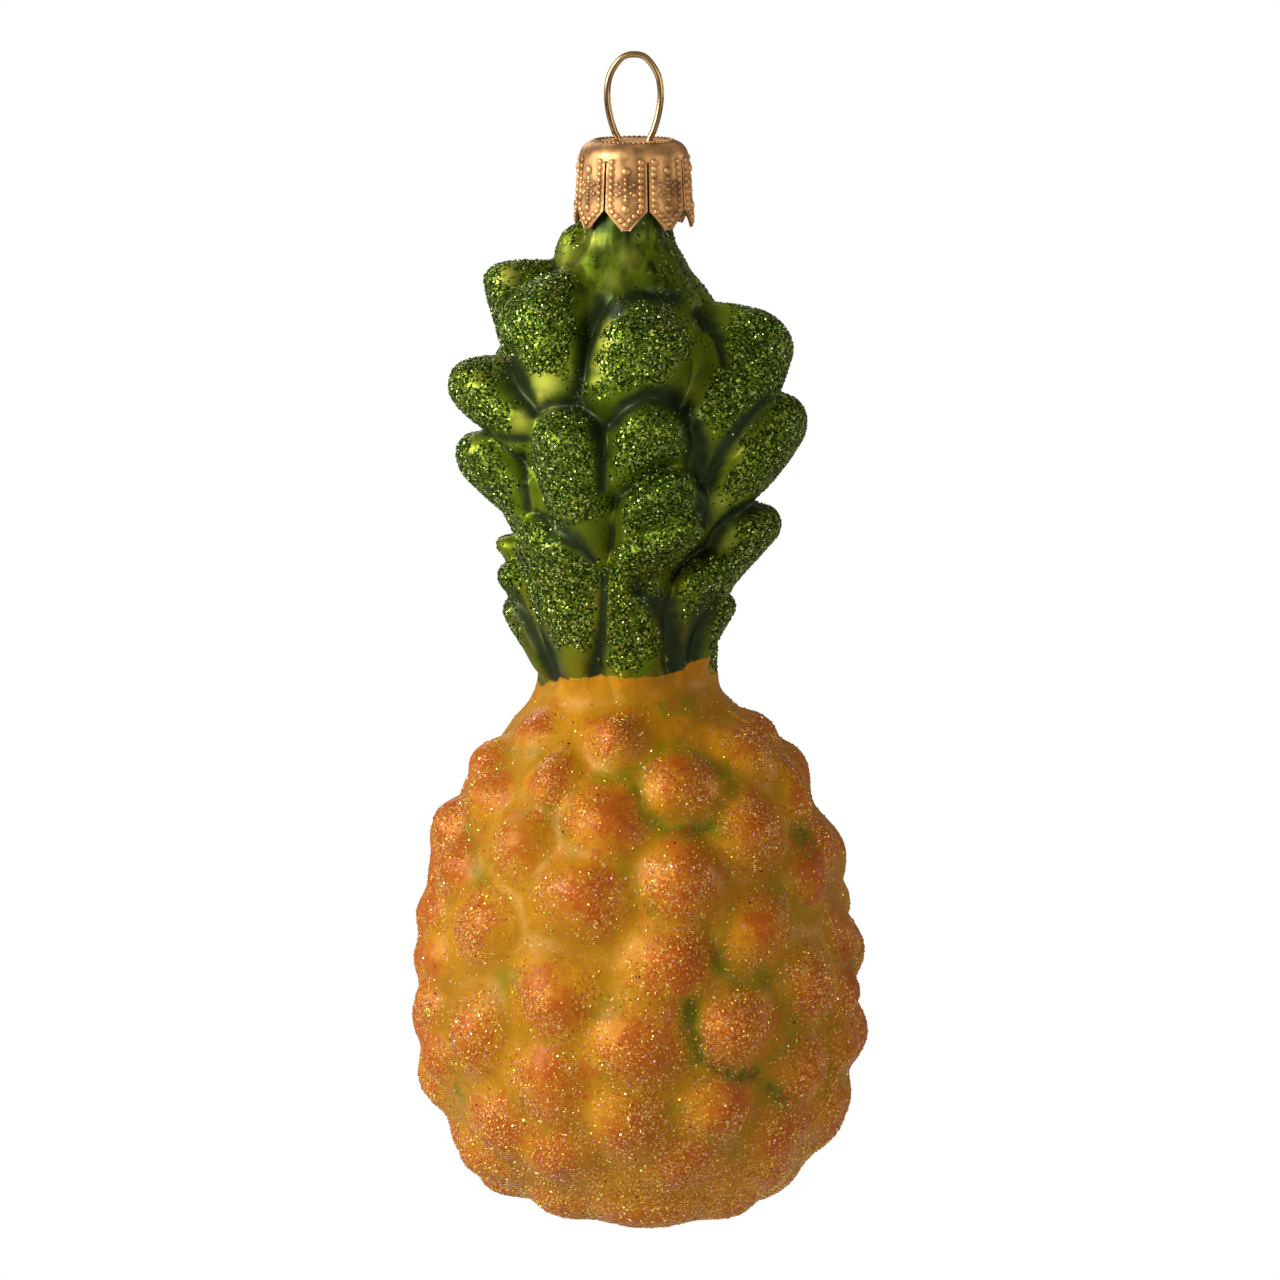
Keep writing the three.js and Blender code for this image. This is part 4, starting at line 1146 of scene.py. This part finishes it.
class PlacingTree(Tree):
    """A Geometry Nodes tree with named inputs, which sets copies of a shape on points."""

    def __init__(self, name, **asked):
        super().__init__(bpy.data.node_groups.new(name, "GeometryNodeTree"), "GeometryNode")
        face = self.tree.interface
        self.inputs = {label: face.new_socket(
            label, in_out="INPUT", socket_type="NodeSocket" + kind).identifier
            for label, kind in asked.items()}
        face.new_socket("Made", in_out="OUTPUT", socket_type="NodeSocketGeometry")
        self.given = self.add("NodeGroupInput").outputs

    def stored(self, name, kind):
        return self.add("InputNamedAttribute", {"Name": name},
                        data_type=kind).outputs["Attribute"]

    def random(self, stream, low, high):
        """A random number for each point, with its own stream of the seed."""
        seed = self.maths("ADD", self.given["Seed"], 100.0 * stream)
        return self.add("FunctionNodeRandomValue", {2: low, 3: high, "Seed": seed},
                        data_type="FLOAT").outputs[1]

    def end(self, copies, smooth_faces):
        """Make the copies real, shade them and paint them."""
        real = self.add("RealizeInstances", {"Geometry": copies})
        shaded = self.add("SetShadeSmooth", {
            "Geometry": real.outputs[0], "Shade Smooth": smooth_faces})
        done = self.add("SetMaterial", {
            "Geometry": shaded.outputs[0], "Material": self.given["Finish"]})
        self.add("NodeGroupOutput", {0: done.outputs[0]})

    def run(self, name, mesh, values):
        """The plain mesh that the tree makes of a mesh, as a new object."""
        carrier = add_object(name + "_carrier", mesh)
        nodes = carrier.modifiers.new("tree", "NODES")
        nodes.node_group = self.tree
        for label, value in values.items():
            nodes[self.inputs[label]] = value
        return plain_copy(name, carrier)


def scatter_tree():
    """A tree that glues plates to a surface as densely as its glitter mark says."""
    tree = PlacingTree("glued plates", Surface="Geometry", Density="Float", Width="Float",
                       Thickness="Float", Lean="Float", Sides="Int", Seed="Int",
                       Finish="Material")
    given, add = tree.given, tree.add
    amount = tree.maths("MULTIPLY", tree.stored("glitter", "FLOAT"), given["Density"])
    spots = add("DistributePointsOnFaces", {
        "Mesh": given["Surface"], "Density": amount, "Seed": given["Seed"]}).outputs
    tinted = add("StoreNamedAttribute", {
        "Geometry": spots["Points"], "Name": "tint", "Value": tree.random(1, 0.0, 1.0)},
        data_type="FLOAT", domain="POINT")
    least = tree.maths("MULTIPLY", given["Lean"], -1.0)
    lean = add("ShaderNodeCombineXYZ", {
        "X": tree.random(2, least, given["Lean"]), "Y": tree.random(3, least, given["Lean"]),
        "Z": tree.random(4, 0.0, 2 * math.pi)})
    turn = add("FunctionNodeEulerToRotation", {"Euler": lean.outputs[0]})
    aim = add("FunctionNodeRotateRotation", {
        "Rotation": spots["Rotation"], "Rotate By": turn.outputs[0]}, rotation_space="LOCAL")
    radius = tree.maths("MULTIPLY", given["Width"], 0.5)
    plate = add("MeshCone", {
        "Vertices": given["Sides"], "Radius Top": tree.maths("MULTIPLY", radius, PLATE_TAPER),
        "Radius Bottom": radius, "Depth": given["Thickness"]}, fill_type="NGON")
    glued = add("InstanceOnPoints", {
        "Points": tinted.outputs["Geometry"], "Instance": plate.outputs["Mesh"],
        "Rotation": aim.outputs[0], "Scale": tree.random(5, *PLATE_SIZES)})
    tree.end(glued.outputs[0], False)
    return tree


glue = scatter_tree()
print("scatter tree:", len(glue.nodes), "nodes")

# %% [markdown]
# The flakes of one colour make one piece. A copy of the outer wall carries the density, the tree
# runs on it, and the result is kept as a plain mesh. Each part gets a few colours of foil, mixed as
# they are in a jar: three greens on the crown, gold, pearl, sparks and a few red ones on the fruit.

# %% Colours of foil, and the glitter
DEEP_TINTS = [(0.02, 0.05, 0.002), (0.035, 0.08, 0.003), (0.05, 0.09, 0.003), (0.02, 0.045, 0.004)]
GREEN_TINTS = [(0.07, 0.16, 0.01), (0.13, 0.23, 0.02), (0.06, 0.16, 0.015), (0.17, 0.24, 0.02)]
BRIGHT_TINTS = [(0.3, 0.5, 0.1), (0.5, 0.62, 0.34), (0.36, 0.44, 0.08), (0.42, 0.58, 0.36)]
GOLD_TINTS = [(0.85, 0.36, 0.03), (0.75, 0.25, 0.015), (0.95, 0.52, 0.08), (0.68, 0.2, 0.012)]
PEARL_TINTS = [(0.98, 0.66, 0.1), (0.96, 0.5, 0.22), (0.95, 0.74, 0.34), (0.74, 0.74, 0.06),
               (0.86, 0.42, 0.66), (0.98, 0.62, 0.1)]
SPARK_TINTS = [(1.0, 0.85, 0.4), (1.0, 0.66, 0.6), (0.9, 0.95, 0.2), (1.0, 0.8, 0.15)]
RED_TINTS = [(0.2, 0.01, 0.01)]
GLITTER = [  # piece, where it lies, flakes a square millimetre, seed, width, lean, and its foil:
    # name, tints, roughness, metallic
    ("crown_glitter_deep", crown_cover, 3.5, 21, 0.26, 0.5,
     ("deep green foil", DEEP_TINTS, 0.26, 1.0)),
    ("crown_glitter_green", crown_cover, 5.0, 22, 0.29, 1.05,
     ("green foil", GREEN_TINTS, 0.27, 0.8)),
    ("crown_glitter_bright", crown_cover, 3.0, 23, 0.24, 0.9,
     ("bright foil", BRIGHT_TINTS, 0.26, 1.0)),
    ("fruit_glitter_gold", fruit_cover, 3.0, 31, 0.25, 0.6,
     ("gold foil", GOLD_TINTS, 0.34, 0.65)),
    ("fruit_glitter_pearl", fruit_cover, 1.8, 32, 0.27, 0.7,
     ("pearl foil", PEARL_TINTS, 0.34, 0.65)),
    ("fruit_glitter_spark", fruit_cover, 0.45, 34, 0.3, 0.6,
     ("spark foil", SPARK_TINTS, 0.3, 0.6)),
    ("fruit_glitter_red", fruit_cover, 0.03, 33, 0.26, 0.5,
     ("red foil", RED_TINTS, 0.26, 1.0)),
]
FLAKE_THICKNESS, FLAKE_SIDES = 0.05, 4


def foil(name, tints, roughness, metallic):
    """Coated foil whose colour steps through tints from one flake to the next."""
    finish = Finish(name, Metallic=metallic, Roughness=roughness)
    tint = finish.steps(finish.attribute("tint"), tints)
    worn = finish.ease(finish.noise(2500), 0.3, 0.7, 0.0, 0.25)
    finish.fill(finish.surface, {
        "Base Color": finish.blend(worn, tint, (0.5, 0.5, 0.5), "MULTIPLY")})
    return finish.material


outer_points = in_frame(glass_points[:outer_count + 1])
for name, cover, density, seed, width, lean, coated in GLITTER:
    surface = new_mesh("bare wall", outer_points, faces[:outer_faces])
    mark(surface, "glitter", cover)
    flakes = glue.run(name, surface, {
        "Density": density / MILLIMETRE**2, "Width": width * MILLIMETRE,
        "Thickness": FLAKE_THICKNESS * MILLIMETRE, "Lean": lean, "Sides": FLAKE_SIDES,
        "Seed": seed, "Finish": foil(*coated)})
    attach(flakes, "root")
    report(flakes)

# %% [markdown]
# ## The cap
#
# The cap is one stamping of thin anodised sheet: a round top, a soft shoulder and eight tabs with
# pointed ends, bent down over the neck. It is a grid laid along its section, with a column for each
# place across a tab. Below the shoulder the quads across each slit are left out. Solidify then
# gives the sheet its thickness, and Bevel takes the sharpness off its edges.

# %% Shape of the cap
CAP_TOP, CAP_CORNER, CAP_TOP_R, CAP_HEM_R = 108.68, 1.7, 5.42, 5.78
CAP_DISH, DISH_BETWEEN, TOP_RINGS, BEND_RINGS = 0.05, (3.4, 3.9), (0.8, 1.7, 2.6, 3.2, 3.5, 3.8), 11
TAB_COUNT, TAB_TURN, TAB_COLUMNS = 8, math.radians(-8), 23
SLIT_WIDTH, SLIT_TOP, TAB_SHOULDER, TAB_TIP, TIP_WIDTH = 0.22, 107.0, 102.1, 100.2, 0.8
TAB_ROWS, TIP_ROWS = 18, 8
TAB_FLARE = (0.05, 0.0, 0.06, 0.02, 0.08, 0.03, 0.0, 0.05)
TAB_BULGE, TAB_RIM, RIM_BETWEEN, BULGE_ONSET = 0.07, 0.06, (0.84, 0.93), 6
CAP_SHEET = 0.24


def cap_side(z):
    """Radius of the cap's outside below its shoulder."""
    top = CAP_TOP - CAP_CORNER
    return CAP_TOP_R + (CAP_HEM_R - CAP_TOP_R) * np.clip((top - z) / (top - TAB_TIP), 0, 1)


def tab_half_width(z):
    """Half the width of a tab: even down to its shoulders, then down to a blunt point."""
    full = math.pi * cap_side(z) / TAB_COUNT - SLIT_WIDTH / 2
    share = np.clip((TAB_SHOULDER - z) / (TAB_SHOULDER - TAB_TIP), 0, 1)
    return full + (TIP_WIDTH / 2 - full) * share


def on_tab(tab, across, z):
    """A place on one tab, across from its middle and at a height. Tabs bulge and have a rim."""
    drop = np.clip((SLIT_TOP - z) / (SLIT_TOP - TAB_TIP), 0, 1)
    r = cap_side(z) + TAB_FLARE[tab] * drop**2
    turn = TAB_TURN + 2 * math.pi * tab / TAB_COUNT + across / r
    aside = np.abs(across / tab_half_width(z))
    raised = TAB_BULGE * (1 - aside**2) + TAB_RIM * smooth(aside, *RIM_BETWEEN)
    r = r + raised * np.minimum(drop * BULGE_ONSET, 1)
    return np.stack(np.broadcast_arrays(r * np.sin(turn), -r * np.cos(turn), z), -1)


def cap_grid():
    """Points of the cap's outside, row by row from its top down, and how many rows have no slit."""
    u = np.linspace(-1, 1, TAB_COLUMNS)
    edge = tab_half_width(SLIT_TOP) / cap_side(SLIT_TOP)
    turn = (TAB_TURN + 2 * math.pi * np.arange(TAB_COUNT)[:, None] / TAB_COUNT + edge * u).ravel()
    rows = [(r, CAP_TOP - CAP_DISH * fading(r, *DISH_BETWEEN)) for r in TOP_RINGS]
    middle = CAP_TOP_R - CAP_CORNER
    rows += [(middle + CAP_CORNER * math.sin(a), CAP_TOP - CAP_CORNER * (1 - math.cos(a)))
             for a in np.linspace(0, math.pi / 2, BEND_RINGS)]
    points = [np.stack([r * np.sin(turn), -r * np.cos(turn), np.full(turn.shape, z)], -1)
              for r, z in rows]
    for z in np.concatenate([np.linspace(SLIT_TOP, TAB_SHOULDER, TAB_ROWS),
                             np.linspace(TAB_SHOULDER, TAB_TIP, TIP_ROWS)[1:]]):
        points.append(np.concatenate([
            on_tab(tab, u * tab_half_width(z), np.full(u.shape, z)) for tab in range(TAB_COUNT)]))
    return np.array(points), len(rows)


cap_points, whole_rows = cap_grid()
cap_rows, cap_columns = cap_points.shape[:2]
quads = ring_faces(cap_rows, cap_columns, 0).reshape(cap_rows - 1, cap_columns, 4)[:, :, ::-1]
across_slit = np.arange(cap_columns) % TAB_COLUMNS == TAB_COLUMNS - 1
cap_faces = quads[:whole_rows].reshape(-1, 4).tolist()
cap_faces += quads[whole_rows:, ~across_slit].reshape(-1, 4).tolist()
cap_faces += [face[::2] + face[1:2] for face in fan_faces(
    cap_rows * cap_columns, np.arange(cap_columns))]
cap_all = np.concatenate([cap_points.reshape(-1, 3), [[0, 0, CAP_TOP - CAP_DISH]]])
print("cap sheet:", len(cap_all), "points,", len(cap_faces), "faces")

# %% [markdown]
# ## Satin anodised metal
#
# The cap's sheet is aluminium dyed a rose gold, with a fine grain from stamping and patches of
# darker stain. The recesses round its beads are darker too, in painted shade. The wire is plated a
# duller gold and is smooth, with broad light and dark bands.

# %% Finishes of cap and wire
RECESS_DARKNESS = 0.6
GRAIN_BUMP, GRAIN_DEPTH = 0.15, 0.05
STAIN_IN_GRAIN, GRAIN_ROUGHNESS = 0.4, 0.14


def satin_metal(name, colour, stain, roughness, patches, grain, worn):
    """Metal with patches of stain, and painted shade where a recess is marked. Worn sets how strong
    its grain is.
    """
    finish = Finish(name, Metallic=1.0)
    patch = finish.noise(patches, 3.0)
    fine = finish.noise(grain, 3.0, 0.6)
    shade = finish.blend(finish.ease(patch, 0.42, 0.68), colour, stain)
    # Round the beads the sheet is darker: painted shade in the recesses.
    shade = finish.blend(finish.attribute("recess_shade"), shade,
                         [RECESS_DARKNESS * part for part in stain])
    bump = finish.add("Bump", {
        "Height": fine,
        "Strength": GRAIN_BUMP * worn, "Distance": GRAIN_DEPTH * MILLIMETRE})
    finish.fill(finish.surface, {
        "Base Color": finish.blend(
            finish.ease(fine, 0.45, 0.75, 0.0, STAIN_IN_GRAIN * worn), shade, stain),
        "Roughness": finish.ease(fine, 0.3, 0.7, roughness, roughness + GRAIN_ROUGHNESS * worn),
        "Normal": bump.outputs["Normal"]})
    return finish.material


cap_metal = satin_metal("rose gold sheet", (0.99, 0.59, 0.275), (0.4, 0.21, 0.1),
                        roughness=0.4, patches=380, grain=5000, worn=1.2)
wire_metal = satin_metal("gold plated wire", (0.7, 0.48, 0.24), (0.42, 0.27, 0.14),
                         roughness=0.2, patches=60, grain=400, worn=0.06)
print("metals:", cap_metal.name, "and", wire_metal.name)

# %% [markdown]
# Two round holes let the wire's legs through the top. Each is cut by a short post, and the posts go
# once the sheet's modifiers have done their work.

# %% Finish the cap's sheet
HOLE_ASIDE, HOLE_R, HOLE_SIDES = 1.6, 0.55, 24
CAP_ROUNDING, ROUNDED_FROM = 0.06, math.radians(50)


def wire_hole(side):
    """A short post to cut the hole that one leg of the wire goes through."""
    turn = np.arange(HOLE_SIDES) * 2 * math.pi / HOLE_SIDES
    ring = np.stack([HOLE_ASIDE * side + HOLE_R * np.cos(turn), HOLE_R * np.sin(turn),
                     CAP_TOP + 0 * turn], -1)
    points = np.concatenate([ring - [0, 0, 1], ring + [0, 0, 1]])
    ends = [range(HOLE_SIDES - 1, -1, -1), range(HOLE_SIDES, 2 * HOLE_SIDES)]
    post = add_object("hole_cutter", new_mesh(
        "hole_cutter", in_frame(points), ring_faces(2, HOLE_SIDES, 0).tolist() + ends, cap_metal))
    post.hide_render = True
    return post


sheet = add_object("cap_sheet", new_mesh("cap_sheet", in_frame(cap_all), cap_faces, cap_metal))
solid = sheet.modifiers.new("thickness", "SOLIDIFY")
solid.thickness = CAP_SHEET * MILLIMETRE
solid.offset = -1
posts = [wire_hole(side) for side in (-1, 1)]
for post in posts:
    drill = sheet.modifiers.new("drill", "BOOLEAN")
    drill.operation = "DIFFERENCE"
    drill.object = post
round_off = sheet.modifiers.new("edges", "BEVEL")
round_off.width = CAP_ROUNDING * MILLIMETRE
round_off.segments = 2
round_off.limit_method = "ANGLE"
round_off.angle_limit = ROUNDED_FROM
cap = plain_copy("stamped_cap", sheet)
for post in posts:
    bpy.data.objects.remove(post)
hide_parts("crown_cap")
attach(cap, "root")
report(cap)

# %% [markdown]
# ## Beads on the cap
#
# The die also raises a border of beads down each tab and round its point, a ring of them on the
# top, and on each tab two round studs with a small flower between. They are all domes, so a second
# tree sets a flattened ball on every marked point, turned to face the way the sheet faces there.
# Last, the sheet close round each bead is marked, so that painted shade darkens it there.

# %% Where the beads go
BEAD, BEAD_PITCH, BORDER_INSET, TIP_INSET = 0.66, 0.6, 0.56, 0.58
BORDER_LEVELS = (SLIT_TOP - 0.1, TAB_SHOULDER + 0.1)
RING_R, RING_BEADS, RING_BEAD, RING_SINK = 3.85, 48, 0.42, 0.02
STUDS = [(106.0, 0.95), (102.3, 0.95)]  # height, size
FLOWER_MIDDLE, FLOWER_HEART, PETALS = 104.2, 0.5, 6
PETAL_BEADS = [(0.62, 0.42), (1.0, 0.5)]  # reach, size
NUDGE = 0.05


def border_of_tab():
    """Places of the border's beads on one tab: across and height."""
    sides = [(tab_half_width(z) - BORDER_INSET, z) for z in BORDER_LEVELS]
    path = np.array(sides + [(0.0, TAB_TIP + TIP_INSET)])
    leg = np.hypot(*np.diff(path, axis=0).T)
    count = round(leg.sum() / BEAD_PITCH)
    along = np.linspace(0, leg.sum(), count + 1)
    right = np.stack([np.interp(along, [0, leg[0], leg.sum()], path[:, i]) for i in (0, 1)], -1)
    return np.concatenate([right, right[:-1] * [-1, 1]])


def flower():
    """Places and sizes of a small flower's beads."""
    beads = [(0.0, FLOWER_MIDDLE, FLOWER_HEART)]
    for petal in range(PETALS):
        turn = 2 * math.pi * petal / PETALS
        for reach, size in PETAL_BEADS:
            beads.append((reach * math.sin(turn), FLOWER_MIDDLE + reach * math.cos(turn), size))
    return beads


spots, facing, sizes = [], [], []
tab_marks = [(across, z, BEAD) for across, z in border_of_tab()]
tab_marks += [(0.0, z, size) for z, size in STUDS] + flower()
for tab in range(TAB_COUNT):
    for across, z, size in tab_marks:
        spot, beside, below = (on_tab(tab, a, h) for a, h in (
            (across, z), (across + NUDGE, z), (across, z - NUDGE)))
        way = np.cross(below - spot, beside - spot)
        spots.append(spot)
        facing.append(way / np.linalg.norm(way))
        sizes.append(size)
for k in range(RING_BEADS):
    turn = 2 * math.pi * k / RING_BEADS
    spots.append(np.array([RING_R * math.sin(turn), -RING_R * math.cos(turn), CAP_TOP - RING_SINK]))
    facing.append(np.array([0.0, 0.0, 1.0]))
    sizes.append(RING_BEAD)
print("beads:", len(spots))

# %% Set a dome on each point
DOME_FLATNESS, DOME_SEGMENTS, DOME_RINGS = 0.62, 10, 6
# How dark the painted shade round the beads is, and over what distance from a bead it fades.
RECESS_SHADE_STRENGTH, RECESS_SHADE_BETWEEN = 0.7, (0.3, 0.75)


def dome_tree():
    """A tree that sets a flattened ball on each point, facing its stored way."""
    tree = PlacingTree("domes", Points="Geometry", Flatness="Float", Finish="Material")
    aim = tree.add("FunctionNodeAlignRotationToVector", {
        "Vector": tree.stored("facing", "FLOAT_VECTOR")}, axis="Z")
    ball = tree.add("MeshUVSphere", {
        "Segments": DOME_SEGMENTS, "Rings": DOME_RINGS, "Radius": 0.5})
    squeeze = tree.add("ShaderNodeCombineXYZ", {0: 1.0, 1: 1.0, 2: tree.given["Flatness"]})
    flat = tree.add("Transform", {
        "Geometry": ball.outputs["Mesh"], "Scale": squeeze.outputs[0]})
    placed = tree.add("InstanceOnPoints", {
        "Points": tree.given["Points"], "Instance": flat.outputs["Geometry"],
        "Rotation": aim.outputs["Rotation"], "Scale": tree.stored("size", "FLOAT")})
    tree.end(placed.outputs[0], True)
    return tree


bead_mesh = new_mesh("bead places", in_frame(spots), [])
bead_mesh.attributes.new("facing", "FLOAT_VECTOR", "POINT").data.foreach_set(
    "vector", np.array(facing).ravel())
mark(bead_mesh, "size", np.array(sizes) * MILLIMETRE)
beads = dome_tree().run("cap_beads", bead_mesh, {"Flatness": DOME_FLATNESS, "Finish": cap_metal})
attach(beads, "root")
report(beads)

# The sheet round each bead is marked for painted shade in its recess.
centres = in_frame(spots)
from_bead = np.array([np.min(np.linalg.norm(centres - np.array(vertex.co), axis=1))
                      for vertex in cap.data.vertices]) / MILLIMETRE
recess_shade = RECESS_SHADE_STRENGTH * fading(from_bead, *RECESS_SHADE_BETWEEN)
mark(cap.data, "recess_shade", recess_shade)
# The count is of points in painted shade round the beads.
print("stained round the beads:", round(float((recess_shade > 0.4).mean()), 2), "of the cap's points")

# %% [markdown]
# ## The wire
#
# One spring wire makes the loop and two legs that press outwards inside the neck. A round section
# is swept along the wire's own path, which is the same on both sides. The path is a curve through a
# few points, spaced by the square root of their distance so that it doesn't overshoot.

# %% The hanging wire
WIRE_D, WIRE_SIDES, WIRE_STEPS = 0.66, 16, 10
WIRE_HALF = [  # across, height, from the foot of a leg up
    (3.7, 92.0), (3.0, 95.4), (2.5, 99.0), (2.5, 102.4), (2.0, 105.0), (1.4, 107.2), (1.5, 108.6),
    (1.95, 109.6), (2.32, 110.8), (2.58, 112.2), (2.64, 113.5), (2.42, 114.9), (1.8, 116.1),
    (1.0, 116.92),
]


def spaced_curve(points, steps):
    """A centripetal curve through points in a plane."""
    points = np.array(points, float)
    full = np.concatenate([[2 * points[0] - points[1]], points, [2 * points[-1] - points[-2]]])
    t = np.linspace(0, 1, steps, endpoint=False)[:, None]
    line = []
    for p0, p1, p2, p3 in zip(full, full[1:], full[2:], full[3:]):
        g0, g1, g2 = (math.sqrt(np.linalg.norm(b - a)) for a, b in ((p0, p1), (p1, p2), (p2, p3)))
        v1 = ((p1 - p0) / g0 - (p2 - p0) / (g0 + g1) + (p2 - p1) / g1) * g1
        v2 = ((p2 - p1) / g1 - (p3 - p1) / (g1 + g2) + (p3 - p2) / g2) * g1
        line.append(between(p1, p2, v1, v2, t))
    return np.concatenate(line + [points[-1:]])


left_half = [(-x, z) for x, z in reversed(WIRE_HALF)]
wire_line = spaced_curve(WIRE_HALF + [(0.0, HOOK_HEIGHT + WIRE_D / 2)] + left_half, WIRE_STEPS)
along = np.gradient(wire_line, axis=0)
along /= np.linalg.norm(along, axis=1)[:, None]
sideways = np.stack([-along[:, 1], 0 * along[:, 0], along[:, 0]], -1)
angle = np.arange(WIRE_SIDES) * 2 * math.pi / WIRE_SIDES
centre = np.stack([wire_line[:, 0], 0 * wire_line[:, 0], wire_line[:, 1]], -1)
wire_points = centre[:, None] + WIRE_D / 2 * (
    np.cos(angle)[None, :, None] * sideways[:, None] + np.sin(angle)[None, :, None]
    * np.array([0.0, 1.0, 0.0]))
last_ring = (len(wire_line) - 1) * WIRE_SIDES
wire_faces = ring_faces(len(wire_line), WIRE_SIDES, 0)[:, ::-1].tolist()
wire_faces += [range(WIRE_SIDES), last_ring + np.arange(WIRE_SIDES)[::-1]]
wire = add_object("hanging_wire", new_mesh(
    "hanging_wire", in_frame(wire_points), wire_faces, wire_metal))
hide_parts("hanger_wire")
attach(wire, "root")
report(wire)
